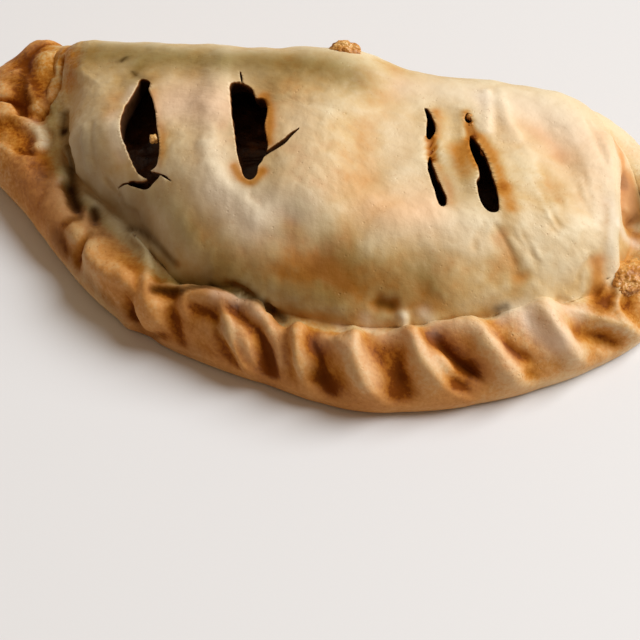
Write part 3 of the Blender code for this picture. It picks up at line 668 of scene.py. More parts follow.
# where the dough is coloured, painted shade and painted highlight among the marks: amount, half width mm,
# pixel path
# browning of the crust, with painted shade on slopes, grooves, scoops, troughs and pockets turned from the
# light
brownedAndShaded = {
    "topLeftPatch": (0.36, 4.5, ((66, 50), (72, 62), (70, 80))),
    "tongue": (0.44, 4.6, ((39, 52), (40, 70), (39, 86), (37, 102))),
    "tongueLeft": (0.20, 2.4, ((30, 58), (31, 76), (33, 96))),
    "pad": (0.08, 5.0, ((148, 296), (152, 318))),
    "leftPlait": (0.12, 8.0, ((20, 60), (30, 80), (26, 96))),
    "leftBand": (0.34, 5.0, ((24, 160), (34, 190), (46, 216), (56, 236))),
    "flapInside": (0.06, 3.6, ((2, 126), (14, 132), (26, 140))),
    "outerLobe": (0.12, 6.0, ((90, 260), (106, 280), (124, 300), (138, 318))),
    "grooveA": (0.35, 2.4, ((222, 302), (236, 314), (246, 330))),
    "innerPad": (0.45, 5.0, ((188, 316), (196, 330), (206, 346))),
    "scoopC": (0.16, 3.6, ((316, 346), (324, 362), (330, 380))),
    "scoopD": (0.08, 3.4, ((386, 350), (396, 368), (402, 386))),
    "scoopF": (0.32, 4.2, ((446, 338), (461, 352), (476, 365))),
    "frontFace": (0.34, 6.0, (
        (150, 336), (200, 352), (250, 372), (300, 394), (350, 404), (400, 404), (440, 401), (468, 396))),
    "slit1Lip": (0.14, 2.6, ((118, 96), (108, 112), (104, 128), (110, 146), (120, 164), (132, 176))),
    "slit1Right": (0.34, 1.6, ((153, 92), (157, 112), (161, 130), (162, 150), (160, 164))),
    "slit2Root": (0.46, 1.9, ((234, 166), (241, 178), (252, 182), (262, 171))),
    "slit2Side": (0.40, 1.9, ((264, 97), (269, 111), (269, 126), (268, 142))),
    "slit2Spot": (0.28, 2.6, ((222, 108), (222, 124))),
    "slit4Side": (0.56, 2.0, ((480, 137), (490, 151), (497, 167), (502, 184))),
    "slit4Low": (0.15, 3.0, ((508, 186), (510, 206))),
    "slit3Link": (0.42, 1.4, ((430, 138), (431, 148), (431, 158))),
    "slit4Link": (0.60, 1.4, ((466, 112), (469, 124), (472, 136))),
    "slit4Left": (0.45, 1.1, ((468, 140), (472, 152), (477, 166))),
    "endPocket": (0.40, 4.0, ((630, 186), (632, 212), (638, 234))),
    "rightEdge": (0.28, 3.0, ((614, 140), (622, 160), (624, 184))),
    "endStreakHigh": (0.35, 1.6, ((622, 152), (623, 172), (622, 184))),
    "endPit": (0.15, 3.0, ((604, 298), (608, 310))),
    "rightTrough": (0.22, 3.4, ((500, 240), (510, 258), (520, 276))),
    "slit4Root": (0.34, 2.8, ((503, 192), (511, 208))),
    "slit3Side": (0.40, 1.7, ((436, 112), (438, 126), (435, 140), (433, 152))),
    "slit34Blot": (0.42, 3.2, ((460, 150), (464, 170))),
    "slit3Low": (0.38, 1.7, ((435, 160), (442, 173), (449, 190), (451, 202))),
    "domeLow": (0.18, 9.0, ((232, 278), (262, 286), (300, 294), (350, 290), (400, 292))),
    "domeLowRight": (0.20, 9.0, ((400, 292), (440, 290), (476, 282))),
    "domeFront": (0.16, 13.0, ((200, 236), (250, 252), (320, 254))),
    "domeMid": (0.16, 12.0, ((284, 90), (290, 150), (286, 200))),
    "domeMidRight": (0.20, 12.0, ((352, 76), (362, 130), (356, 176))),
    "domeFar": (0.14, 10.0, ((530, 214), (564, 232), (590, 212))),
    "domeSpots": (0.20, 3.0, ((288, 226), (298, 232))),
    "domeSpotRight": (0.14, 3.4, ((318, 258), (328, 266))),
    "domeSpotLow": (0.10, 4.0, ((290, 262), (298, 270))),
    "streakRight": (0.30, 3.2, ((526, 126), (544, 138), (560, 156))),
    "streakFar": (0.20, 4.0, ((546, 180), (560, 200))),
    "endFold": (0.35, 2.6, ((598, 262), (598, 284), (602, 302))),
    "endStreak": (0.30, 2.0, ((608, 206), (606, 238))),
    "leakSeat": (0.15, 6.0, ((622, 256), (632, 276), (628, 296))),
    "rimRight": (0.22, 4.0, ((560, 374), (590, 364), (620, 348))),
    "endRim": (0.20, 7.0, ((600, 346), (628, 330), (640, 318))),
}

# peach tint of the dough; the rim's crests add their painted highlight to this mask
blushedAndHighlit = {
    "betweenSlits": (0.60, 7.0, ((166, 94), (190, 92), (214, 94))),
    "betweenSlitsLow": (0.35, 6.0, ((170, 112), (212, 112))),
    "slit1Left": (0.50, 3.4, ((114, 98), (112, 112))),
    "domeMiddle": (1.0, 7.0, ((374, 206), (400, 210), (424, 208))),
    "rightTop": (0.5, 9.0, ((520, 130), (560, 150), (590, 170))),
    "farRim": (0.5, 5.0, ((604, 106), (624, 128), (640, 152))),
    "rightEdge": (0.85, 7.0, ((600, 120), (622, 160), (622, 200))),
}

shaded = {
    "domeLow": (0.70, 8.0, ((232, 274), (262, 284), (294, 290), (320, 292))),
    "domeMiddle": (0.75, 6.5, ((308, 214), (322, 232), (328, 256))),
    "domeLowRight": (0.30, 4.5, ((424, 262), (432, 286), (430, 306))),
    "domeLowMiddle": (0.60, 6.0, ((352, 288), (376, 291), (402, 293), (424, 291))),
    "domeMiddleRight": (0.32, 5.0, ((346, 252), (372, 261), (400, 265), (428, 264))),
    "domeLowLeft": (0.42, 6.0, ((176, 236), (196, 244), (218, 256))),
    "behindArch": (0.90, 3.6, ((166, 281), (190, 283), (212, 287), (232, 296))),
    "lowHole": (0.9, 3.4, ((84, 206), (92, 218), (98, 230))),
    "outerLeft": (0.75, 3.0, ((58, 240), (72, 262), (90, 284), (108, 303), (124, 318))),
    "topBand": (0.95, 6.5, ((92, 54), (140, 56), (200, 60), (260, 62), (320, 66), (352, 76))),
    "slit1Top": (0.5, 3.0, ((138, 70), (131, 84), (125, 96))),
    "slit1Below": (0.55, 4.5, ((136, 192), (158, 197), (176, 208), (194, 226))),
    "slit2Right": (0.45, 3.0, ((273, 84), (275, 100))),
    "slit2Low": (0.45, 3.4, ((272, 150), (272, 174), (268, 200))),
    "slit2Below": (0.5, 5.0, ((254, 190), (274, 198), (294, 204))),
    "betweenRight": (0.45, 3.6, ((452, 162), (454, 194))),
    "shelf": (0.70, 5.0, ((98, 226), (116, 238), (136, 252), (156, 268))),
    "valley": (0.95, 4.0, ((52, 110), (50, 130), (54, 154), (59, 178), (65, 200), (72, 214))),
    "leftHollow": (0.35, 3.0, ((18, 82), (24, 94), (28, 104))),
    "endPocket": (0.8, 4.0, ((632, 190), (632, 210), (638, 230))),
    "endSide": (0.5, 3.6, ((612, 200), (614, 236))),
    "leftBandFoot": (0.45, 4.0, ((44, 180), (54, 214), (58, 246))),
    "padFoot": (0.5, 3.2, ((164, 346), (180, 350), (196, 354))),
    "underArch": (0.5, 3.0, ((206, 324), (220, 331), (232, 336))),
    "grooveC": (0.7, 1.8, ((304, 354), (313, 367), (320, 380))),
}

# grey tint, with painted shade on the dome's left wall and near the top of the second slit
greyedAndShaded = {
    "leftWall": (0.75, 9.0, ((84, 150), (92, 180), (112, 206), (140, 226))),
    "leftWallLow": (0.35, 5.0, ((120, 200), (150, 232), (166, 250))),
    "topGap": (0.25, 5.0, ((240, 66), (262, 80))),
}

# pale flour, with painted highlight on lit dome slopes, crests, ropes and lips
flouredAndHighlit = {
    "slit1Lip": (0.5, 2.4, ((113, 116), (113, 128), (116, 142), (122, 156))),
    "slit1Edge": (0.5, 2.0, ((144, 168), (156, 168))),
    "betweenSlitsHigh": (0.9, 7.0, ((174, 104), (196, 102), (214, 106))),
    "rightTop": (0.5, 8.0, ((516, 108), (542, 120), (566, 140))),
    "rightDome": (0.35, 9.0, ((536, 104), (580, 124), (604, 152), (600, 200))),
    "rightLow": (0.20, 8.0, ((540, 236), (570, 256), (590, 240))),
    "farRim": (0.35, 5.0, ((600, 104), (622, 126), (638, 150))),
    "pocketLip": (0.6, 1.3, ((618, 222), (626, 238), (640, 247))),
    "slit1Corner": (0.5, 1.6, ((132, 88), (126, 100))),
    "betweenSlits": (0.55, 8.0, ((214, 150), (218, 176), (238, 200), (256, 212))),
    "middleBand": (0.35, 9.0, ((300, 120), (306, 170), (300, 210))),
    "rightBand": (0.35, 8.0, ((400, 130), (404, 170), (436, 216), (470, 232))),
    "archCrest": (0.4, 1.6, ((214, 294), (230, 297), (246, 304), (258, 314))),
    "flapEdge": (0.35, 2.2, ((32, 122), (39, 129), (43, 142))),
    "tongueTip": (0.15, 1.8, ((48, 92), (42, 102))),
    "nubs": (0.4, 1.6, ((365, 318), (366, 324))),
    "nubLeft": (0.3, 1.6, ((340, 324), (344, 330))),
    "nubRight": (0.6, 1.6, ((403, 316), (403, 324))),
    "nubFar": (0.5, 1.8, ((424, 314), (428, 320))),
    "crestG": (0.6, 2.4, ((504, 316), (516, 311), (530, 309))),
    "crestH": (0.5, 2.4, ((552, 305), (566, 308), (580, 314))),
    "ropeA": (0.15, 2.0, ((230, 326), (240, 340), (248, 354))),
    "ropeD": (0.25, 3.0, ((354, 338), (364, 358), (372, 380))),
    "ropeE": (0.25, 2.4, ((412, 338), (424, 350), (438, 366))),
    "ropeF": (0.3, 3.0, ((494, 338), (504, 354), (514, 368))),
    "ropeH": (0.4, 3.0, ((556, 318), (568, 336), (578, 352))),
    "crestF": (0.35, 2.2, ((436, 327), (456, 324), (478, 327))),
    "ridgeAbove": (0.4, 2.4, ((484, 96), (486, 126))),
    "endFold": (0.4, 2.6, ((611, 206), (612, 240), (613, 276))),
    "topMiddle": (0.55, 6.0, ((408, 88), (440, 90), (476, 94))),
    "betweenSlitsLow": (0.35, 4.5, ((212, 194), (230, 209), (248, 227))),
    "besideD": (0.3, 2.4, ((373, 330), (386, 334), (398, 332))),
    "besideH": (0.8, 3.4, ((530, 322), (544, 332), (556, 342))),
    "crestD": (0.2, 2.2, ((322, 342), (334, 344), (344, 348))),
    "besideC": (0.15, 2.6, ((270, 326), (276, 344), (280, 360))),
}

# dark char marks, with painted shade in the gap behind the arch, holes, pits, creases, grooves and pockets
charredAndShaded = {
    "domePit": (0.55, 2.0, ((380, 304), (390, 306))),
    "gap": (0.85, 1.5, (
        (154, 290), (180, 291), (192, 287), (226, 287), (250, 297), (268, 307), (284, 319))),
    "holeHigh": (1.0, 2.5, ((71, 190), (74, 199), (77, 207))),
    "holeLow": (1.0, 1.8, ((94, 211), (96, 219))),
    "domeSide": (0.75, 1.8, ((64, 116), (64, 132))),
    "valleyDeep": (0.42, 2.0, ((65, 132), (68, 152), (71, 172))),
    "domeSideLow": (0.35, 1.2, ((68, 146), (72, 164), (74, 180))),
    "endPocket": (0.55, 2.4, ((639, 194), (640, 222))),
    "domeFoot": (0.55, 1.2, ((130, 229), (140, 231), (150, 238), (160, 247), (168, 256), (174, 263))),
    "tongueLeft": (0.25, 1.6, ((24, 72), (28, 88), (31, 104))),
    "padCrescent": (0.3, 1.0, ((132, 310), (135, 320), (142, 331), (152, 337), (163, 336))),
    "grooveF": (0.2, 1.2, ((440, 348), (449, 359), (458, 368), (468, 374))),
    "pocketH": (0.2, 1.6, ((580, 334), (592, 339), (606, 343))),
    "crestPit": (0.6, 1.3, ((498, 309), (506, 306))),
    "mark": (0.85, 1.0, ((121, 61), (126, 58))),
    "markLow": (0.7, 0.8, ((133, 72), (136, 75))),
    "slit1Top": (0.4, 1.3, ((140, 77), (150, 79))),
}


# openings cut in the dough: how far their edge rolls and their depth in mm, outline in pixels
slits = {
    "slit1": (0.15, 11.0, (
        (141, 79), (136, 88), (130, 98), (124, 108), (121, 118), (120, 128), (122, 137), (126, 148),
        (130, 158), (135, 168), (140, 175), (147, 179), (142, 181), (130, 181), (128, 184), (136, 187),
        (147, 189), (154, 182), (160, 175), (157, 172), (150, 171), (156, 166), (158, 157), (159, 147),
        (158, 136), (156, 124), (155, 112), (152, 98), (148, 90), (150, 82))),
    "slit2": (0.35, 11.0, (
        (231, 84), (239, 82), (246, 85), (252, 90), (255, 98), (262, 98), (266, 104), (266, 114),
        (264, 123), (265, 132), (267, 146), (264, 153), (261, 161), (257, 166), (256, 174), (250, 179),
        (244, 175), (241, 165), (238, 154), (236, 140), (234, 126), (232, 110), (231, 97))),
    "slit3Back": (0.25, 11.0, (
        (425, 108), (429, 111), (432, 117), (435, 125), (434, 133), (430, 139), (427, 136), (427, 126),
        (427, 117))),
    "slit3Front": (0.25, 11.0, (
        (430, 157), (433, 166), (437, 177), (442, 188), (446, 196), (446, 203), (442, 206), (438, 201),
        (435, 190), (431, 178), (428, 167))),
    "slit4": (0.3, 11.0, (
        (470, 136), (475, 140), (480, 147), (485, 156), (489, 166), (492, 176), (496, 187), (498, 199),
        (498, 210), (490, 211), (483, 204), (479, 193), (477, 181), (480, 175), (477, 164), (473, 154),
        (470, 145))),
    "slit4Notch": (0.2, 4.0, ((467, 113), (470, 117), (471, 122), (467, 122), (465, 118))),
}

# torn cracks: half width in pixels, depth in mm, pixel path
tears = {
    "slit2Tear": (2.3, 3.2, ((257, 161), (266, 153), (275, 147), (284, 141), (291, 134), (299, 128))),
    "slit1TearLeft": (1.0, 1.6, ((118, 188), (124, 184), (131, 183))),
    "slit1TearRight": (1.0, 1.6, ((157, 173), (164, 176), (171, 181))),
    "topTear": (0.8, 1.2, ((240, 71), (241, 76), (242, 83))),
}

# the cuts' walls, mm: the depths of their rings, from above the dough down
cutWalls = {
    "depths": (2.5, 0.9, 0.35, 0.0, -0.5, -1.2, -2.2, -3.4, -4.8, -6.4, -8.4), "lastGap": 0.3,
    "spacing": 0.55, "pixelsPerMm": 3.3, "fewest": 12, "rimStep": 0.25, "upright": 0.6, "above": 2.5,
    "high": 0.5, "highFlare": 1.2, "rollFrom": (-1.0, 0.35), "undercut": 0.30, "undercutFrom": 1.0,
    "ragged": 0.35, "wave": 1.6, "seed": 3.0, "calm": 0.3, "calmFrom": -0.4,
    # shallow cuts, which don't reach the hollow
    "throughFrom": 9.0, "shallowUndercut": -0.12, "shallowRagged": 0.4,
    "tearRoll": 0.1, "tearStep": 4.0, "tearEnds": 0.08,
}

# the room inside the dough and the filling in it, mm and degrees; reliefs: height, size, seed, octaves
hollow = {
    "share": 0.88, "floor": 7.0, "waist": 14.0, "roof": 5.0, "boxiness": 4.0, "turns": (-72.0, 80.0),
    "columns": 220, "rings": 44,
    "fillingTop": 0.62, "fillingInset": 1.2, "gap": 0.4,
    "lumps": (2.2, 9.0, 0.7, 1), "grain": (0.9, 3.0, 4.0, 2),
}


def ballPiece(name, rows, bottom, top):
    return linked(name, wrapBall(rows, bottom, top)[0])


def hollowRows(inset, lift, topHeight):
    # a boxy ball inside the dough, under a roof
    stations = np.arange(hollow["columns"]) / hollow["columns"] * edgeTotal
    _, base = edgeAt(stations)
    centre = np.array(dough["centre"])
    floor = hollow["floor"] + lift
    rows = []
    for angle in np.radians(np.linspace(*hollow["turns"], hollow["rings"])):
        out = math.cos(angle) ** (2 / hollow["boxiness"])
        up = abs(math.sin(angle)) ** (2 / hollow["boxiness"])
        plan = mix(centre, base, hollow["share"] * out)
        plan = plan - (plan - centre) * (inset / np.linalg.norm(plan - centre, axis=-1))[:, None]
        limit = floor if angle < 0 else topHeight(plan[:, 0], plan[:, 1])
        rows.append((plan, mix(hollow["waist"], limit, up) + 0 * stations))
    peak = topHeight(np.array([centre[0]]), np.array([centre[1]]))[0]
    return rows, (*centre, floor), (*centre, peak)


def roofHeight(x, y):
    return domeTop(x, y) - hollow["roof"]


def tearOutline(halfWidth, path):
    # a sliver round a path, widest in its middle
    path = softPath(path, cutWalls["tearStep"])
    along = np.gradient(path, axis=0)
    across = np.column_stack((-along[:, 1], along[:, 0])) / np.linalg.norm(along, axis=1)[:, None]
    share = mix(cutWalls["tearEnds"], 1 - cutWalls["tearEnds"], np.arange(len(path)) / (len(path) - 1))
    width = halfWidth * np.sin(np.pi * share)[:, None]
    return np.vstack((path + across * width, (path - across * width)[::-1]))


def cutLoop(tree, outline):
    # where an outline drawn over the photograph meets the dough, the cut's axis, and the way out of it
    corners = np.array(outline, float)
    rim = roundLoop(corners, np.arange(0, len(corners), cutWalls["rimStep"]))
    steps = np.linalg.norm(np.diff(rim, axis=0, append=rim[:1]), axis=1)
    lengths = np.concatenate(([0.0], np.cumsum(steps)))
    count = max(cutWalls["fewest"], int(lengths[-1] / cutWalls["pixelsPerMm"] / cutWalls["spacing"]))
    places = np.interp(np.arange(count) / count * lengths[-1], lengths, np.arange(len(lengths)))
    closed = np.vstack((rim, rim[:1]))
    pixels = np.column_stack([np.interp(places, np.arange(len(closed)), closed[:, k]) for k in (0, 1)])
    hits = [tree.ray_cast(*pixelRay(pixel)) for pixel in pixels]
    loop = np.array([hit[0][:] for hit in hits])
    axis = np.mean([hit[1][:] for hit in hits], axis=0) + np.array((0.0, 0.0, cutWalls["upright"]))
    axis = axis / np.linalg.norm(axis)
    along = np.roll(loop, -1, axis=0) - np.roll(loop, 1, axis=0)
    outward = np.cross(along, axis)
    outward = outward / np.linalg.norm(outward, axis=1)[:, None]
    turn = np.cross(loop - loop.mean(axis=0), along) @ axis
    return loop, axis, outward * (1 if turn.sum() > 0 else -1)


def slitCutter(name, tree, roll, deepest, outline):
    # a ragged shaft under an outline, flared where it meets the crust and undercut below
    loop, axis, outward = cutLoop(tree, outline)
    count = len(loop)
    shape = bmesh.new()
    bmesh.ops.create_circle(shape, cap_ends=True, segments=count, radius=1.0)
    inTurn = sorted(shape.verts, key=lambda vert: math.atan2(vert.co.y, vert.co.x) % (2 * math.pi))
    ring = {vert: k for k, vert in enumerate(inTurn)}
    shape.faces.ensure_lookup_table()
    cap = shape.faces[0]
    through = deepest > cutWalls["throughFrom"]
    undercut = cutWalls["undercut"] if through else cutWalls["shallowUndercut"]
    wander = cutWalls["ragged"] * (1.0 if through else cutWalls["shallowRagged"])
    depths = [depth for depth in cutWalls["depths"] if depth > cutWalls["lastGap"] - deepest] + [-deepest]
    if not through:  # no higher than it needs, beside the dome's wall
        depths = depths[1:]
    for step, depth in enumerate(depths):
        if step:
            grown = bmesh.ops.extrude_face_region(shape, geom=[cap])["geom"]
            if step > 1:
                bmesh.ops.delete(shape, geom=[cap], context="FACES_ONLY")
            raised = [part for part in grown if isinstance(part, bmesh.types.BMVert)]
            faces = [part for part in grown if isinstance(part, bmesh.types.BMFace)]
            cap = next(face for face in faces if len(face.verts) == count)
            nearest = {vert: min(ring, key=lambda old: (old.co - vert.co).length_squared) for vert in raised}
            ring = {vert: ring[old] for vert, old in nearest.items()}
        rolled = cutWalls["highFlare"] if depth > cutWalls["high"] else ramp(*cutWalls["rollFrom"], depth)
        flare = roll * rolled - undercut * min(depth + cutWalls["undercutFrom"], 0.0)
        calm = cutWalls["calm"] if depth > cutWalls["calmFrom"] else 1.0
        ragged = ripple(loop + axis * depth, wander, cutWalls["wave"], cutWalls["seed"]) * calm
        level = loop + axis * depth + outward * (flare + ragged)[:, None]
        if through and not step:  # a flat end, clear of the curved top
            level += axis * ((loop @ axis).max() + cutWalls["above"] - level @ axis)[:, None]
        for vert, k in ring.items():
            vert.co = level[k]
    bmesh.ops.recalc_face_normals(shape, faces=shape.faces[:])
    return linked(name, meshFrom(shape, name))


def cutAway(piece, cutter):
    step = piece.modifiers.new("cut", "BOOLEAN")
    step.operation = "DIFFERENCE"
    step.solver = "MANIFOLD"
    step.object = cutter
    mesh = bpy.data.meshes.new_from_object(piece.evaluated_get(bpy.context.evaluated_depsgraph_get()))
    print("  cut by", cutter.name, "from", len(piece.data.polygons), "to", len(mesh.polygons), "faces")
    piece.modifiers.clear()
    piece.data = mesh
    bpy.data.objects.remove(cutter)


# how the crust is smoothed, roughened and coloured: mm, times of smoothing, amounts
finish = {
    "softenTimes": 120, "rimTimes": 4, "rimShare": 0.85, "rimCrust": 0.6,
    "rimRows": (-6, 3),  # from the crease, where the rim's treatment fades
    "outerRows": (-1, 6), "outerSideRows": (1, 6),  # from the crest, where the rim's outer side fades
    "leftEnd": (-62.0, -80.0), "rightEnd": (84.0, 96.0),
    # reliefs: height, size, seed, octaves
    "swells": (0.60, 15.0, 2.0, 2), "bumps": (0.26, 5.0, 5.0, 2), "grain": (0.08, 1.7, 9.0, 2),
    "crustyGrain": 0.10, "reliefFrom": (2.0, 8.0),
    "brown": 0.14, "rimBrown": 0.53, "rightPaler": 0.24, "rightFrom": (66.0, 88.0), "leftBrown": 0.08,
    # the finer and the broader shape: times of smoothing, and the height that counts as raised, which sets
    # painted highlight on ridges and painted shade in hollows
    "near": (14, 2.2), "far": (90, 10.0), "rimContrast": 0.72, "insideCreases": 0.25, "mostRaised": 0.86,
    "crestHighlight": 0.45, "crestHighlightFrom": (0.52, 0.82), "flourHighlightGone": (0.25, 0.6),
    "cutFrom": 0.05, "insideDepth": (0.03, 1.0),
}


def fadeRows(row, step, rows):
    # one below a step up the rim, fading to nothing over some rows near it
    middle = len(dough["baseRings"]) + step
    return 1 - ramp(middle + rows[0], middle + rows[1], row)


def shapeCrust():
    # the plain ball of dough, then its folds, laps and grooves, pushed out along the plain form's normals
    centre = dough["centre"]
    peak = float(domeTop(np.array(centre[0]), np.array(centre[1])))
    ends = (*centre, 0.0), (*centre, peak)
    outward = meshNormals(wrapBall(doughRows(0.0), *ends)[0])
    mesh, row = wrapBall(doughRows(dough["pleatShare"]), *ends)
    edges = edgesOf(mesh)
    points, tree = meshPoints(mesh), treeOf(mesh)
    folds = strokeLift(points, tree, forms) + strokeLift(points, tree, strands, laying["flat"])
    points = points + outward * folds[:, None]
    setPoints(mesh, points)
    points = points + outward * lapLift(points, meshNormals(mesh), laps)[:, None]
    setPoints(mesh, points)
    soft = relax(points, edges, finish["softenTimes"])
    points = mix(points, soft, paint(points, treeOf(mesh), softened)[:, None])
    setPoints(mesh, points)
    points = points + outward * strokeLift(points, treeOf(mesh), creases)[:, None]
    onRim = fadeRows(row, dough["rimSteps"], finish["rimRows"])
    leftEnd = ramp(*finish["leftEnd"], points[:, 0])
    soft = relax(points, edges, finish["rimTimes"])
    points = mix(points, soft, (onRim * (1 - leftEnd) * finish["rimShare"])[:, None])
    setPoints(mesh, points)
    print("crust shaped")
    return mesh, points, row, onRim, leftEnd


def roughenCrust(mesh, points, onRim, leftEnd):
    # relief, from broad swells to blisters
    tree = treeOf(mesh)
    top = ramp(*finish["reliefFrom"], points[:, 2])
    rightEnd = ramp(*finish["rightEnd"], points[:, 0])
    crusty = np.clip(np.maximum.reduce((onRim * finish["rimCrust"], leftEnd, rightEnd * onRim)), 0, 1)
    height, *pattern = finish["grain"]
    relief = ripple(points, *finish["swells"]) + ripple(points, *finish["bumps"])
    relief = relief + ripple(points, height + finish["crustyGrain"] * crusty, *pattern)
    relief = relief + strokeLift(points, tree, cracks)
    points = points + meshNormals(mesh) * (relief * top)[:, None]
    points[:, 2] = np.maximum(points[:, 2], 0.0)
    setPoints(mesh, points)
    print("crust relief made")
    return points, crusty


def crustMasks(mesh, points, tree, row, leftEnd, crusty):
    masks = {"blushedAndHighlit": blushedAndHighlit, "shaded": shaded, "greyedAndShaded": greyedAndShaded, "flouredAndHighlit": flouredAndHighlit, "charredAndShaded": charredAndShaded}
    masks = {name: paint(points, tree, strokes) for name, strokes in masks.items()}
    outer = fadeRows(row, dough["crestStep"], finish["outerRows"])
    # browning, and painted shade from the strokes
    brownAndShadeStrokes = strokeLift(points, tree, brownedAndShaded)
    rimBrown = finish["rimBrown"] - finish["rightPaler"] * ramp(*finish["rightFrom"], points[:, 0])
    brown = finish["brown"] + rimBrown * outer + finish["leftBrown"] * leftEnd + brownAndShadeStrokes
    masks["brownedAndShaded"] = np.clip(brown, 0, 1)

    # what stands out of the finer and the broader shape around it, for painted highlight on ridges and
    # painted shade in hollows and creases
    normals, edges = meshNormals(mesh), edgesOf(mesh)
    raised = 0
    for times, height in (finish["near"], finish["far"]):
        raised = raised + np.sum((points - relax(points, edges, times)) * normals, axis=1) / height
    raised = raised * mix(1.0, finish["rimContrast"], outer)
    outerSide = fadeRows(row, dough["crestStep"], finish["outerSideRows"])
    raised = np.where(raised < 0, raised * mix(finish["insideCreases"], 1.0, outerSide), raised)
    masks["raised"] = np.clip(0.5 + raised, 0, finish["mostRaised"])

    masks["crusty"] = crusty
    masks["flouredAndHighlit"] *= 1 - ramp(*finish["flourHighlightGone"], np.clip(brownAndShadeStrokes, 0.0, 1.0))
    # painted highlight on the outer rim's raised crests
    crestHighlight = finish["crestHighlight"] * outer * ramp(*finish["crestHighlightFrom"], masks["raised"])
    masks["blushedAndHighlit"] = np.maximum(masks["blushedAndHighlit"], crestHighlight)
    print("crust painted")
    return masks


def cutCrust(piece, tree):
    cutters = [ballPiece("hollow", *hollowRows(0.0, 0.0, roofHeight))]
    cutters += [slitCutter(name, tree, *shape) for name, shape in slits.items()]
    for name, (halfWidth, deepest, path) in tears.items():
        cutters.append(slitCutter(name, tree, cutWalls["tearRoll"], deepest, tearOutline(halfWidth, path)))
    for cutter in cutters:
        cutAway(piece, cutter)


def carryMasks(mesh, tree, points, masks):
    # the cut mesh takes its masks from the nearest point of the whole one, and a mask of its cut walls
    lookup = KDTree(len(points))
    for k, point in enumerate(points):
        lookup.insert(point, k)
    lookup.balance()
    final = meshPoints(mesh)
    nearest = [lookup.find(point)[1:] for point in final]
    source = np.array([found[0] for found in nearest])
    depth = np.array([tree.find_nearest(point)[3] if found[1] > finish["cutFrom"] else 0.0
                      for point, found in zip(final, nearest)])
    masks = {name: values[source] for name, values in masks.items()}
    masks["inside"] = ramp(*finish["insideDepth"], depth)
    for name, values in masks.items():
        layer = mesh.attributes.new(name, "FLOAT", "POINT")
        layer.data.foreach_set("value", np.asarray(values, np.float32))


def buildCrust(material):
    mesh, points, row, onRim, leftEnd = shapeCrust()
    points, crusty = roughenCrust(mesh, points, onRim, leftEnd)
    tree = treeOf(mesh)
    masks = crustMasks(mesh, points, tree, row, leftEnd, crusty)
    piece = linked("doughCrust", mesh)
    cutCrust(piece, tree)
    carryMasks(piece.data, tree, points, masks)
    settle(piece, material)
    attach(piece, "root")
    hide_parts("crust")
    return tree


def fillingHeight(x, y):
    places = np.column_stack((x, y, np.zeros(len(x))))
    plain = domeTop(x, y) * hollow["fillingTop"]
    return plain + ripple(places, *hollow["lumps"]) + ripple(places, *hollow["grain"])


def buildFilling(material):
    piece = ballPiece("bakedFilling", *hollowRows(hollow["fillingInset"], hollow["gap"], fillingHeight))
    settle(piece, material)
    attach(piece, "root")
    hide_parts("filling")


# the lumps of baked cheese: centre mm, half lengths mm, turn degrees, seed, the node each stands for
cheeseLumps = {
    "cheeseBead": ((6.3, 31.4, 43.6), (4.4, 3.0, 2.8), 10.0, 3.0, "cheese_bead"),
    "cheeseLeak": ((92.0, -8.5, 17.0), (4.6, 6.4, 3.0), -25.0, 8.0, "cheese_leak"),
}

# their relief, as shares of their size: height, size, step of the seed, octaves
cheeseRelief = ((0.16, 0.5, 0, 1), (0.10, 0.22, 2, 2), (0.03, 0.08, 0, 1))


def buildCheese(name, material, centre, halves, turn, seed, node):
    shape = bmesh.new()
    bmesh.ops.create_icosphere(shape, subdivisions=6, radius=1.0)
    mesh = meshFrom(shape, name)
    ball = meshPoints(mesh)
    knob = 1
    for height, size, shift, octaves in cheeseRelief:
        knob = knob + ripple(ball, height, size, seed + shift, octaves)
    setPoints(mesh, ball * knob[:, None] * np.array(halves))
    mesh.transform(Matrix.Translation(Vector(centre)) @ Matrix.Rotation(math.radians(turn), 4, "Z"))
    piece = linked(name, mesh)
    settle(piece, material)
    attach(piece, "root")
    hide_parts(node)


# crumbs in the slits: pixel, how far behind the dough's surface along the photograph's ray mm, half size mm
crumbs = {
    "places": (((154, 139), 1.4, 1.3), ((470, 117), 0.9, 0.9), ((472, 126), 1.0, 1.0),
               ((468, 131), 1.4, 0.7), ((484, 152), 2.2, 1.0), ((433, 150), 0.6, 0.6)),
    "lumps": (0.30, 1.6), "grain": (0.12, 4),  # height and how fine, as shares of a crumb
}


def buildCrumbs(tree, material):
    shape = bmesh.new()
    lumps, lumpRate = crumbs["lumps"]
    grain, grainRate = crumbs["grain"]
    for seed, (pixel, behind, size) in enumerate(crumbs["places"]):
        start, heading = pixelRay(pixel)
        place = tree.ray_cast(start, heading)[0] + heading * behind
        for vert in bmesh.ops.create_icosphere(shape, subdivisions=4, radius=1.0)["verts"]:
            knob = 1 + lumps * noise.noise(vert.co * lumpRate + Vector((seed, 5, 2)))
            knob += grain * noise.noise(vert.co * grainRate)
            vert.co = place + vert.co * knob * size
    piece = linked("cheeseCrumbs", meshFrom(shape, "cheeseCrumbs"))
    settle(piece, material)
    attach(piece, "root")


# materials

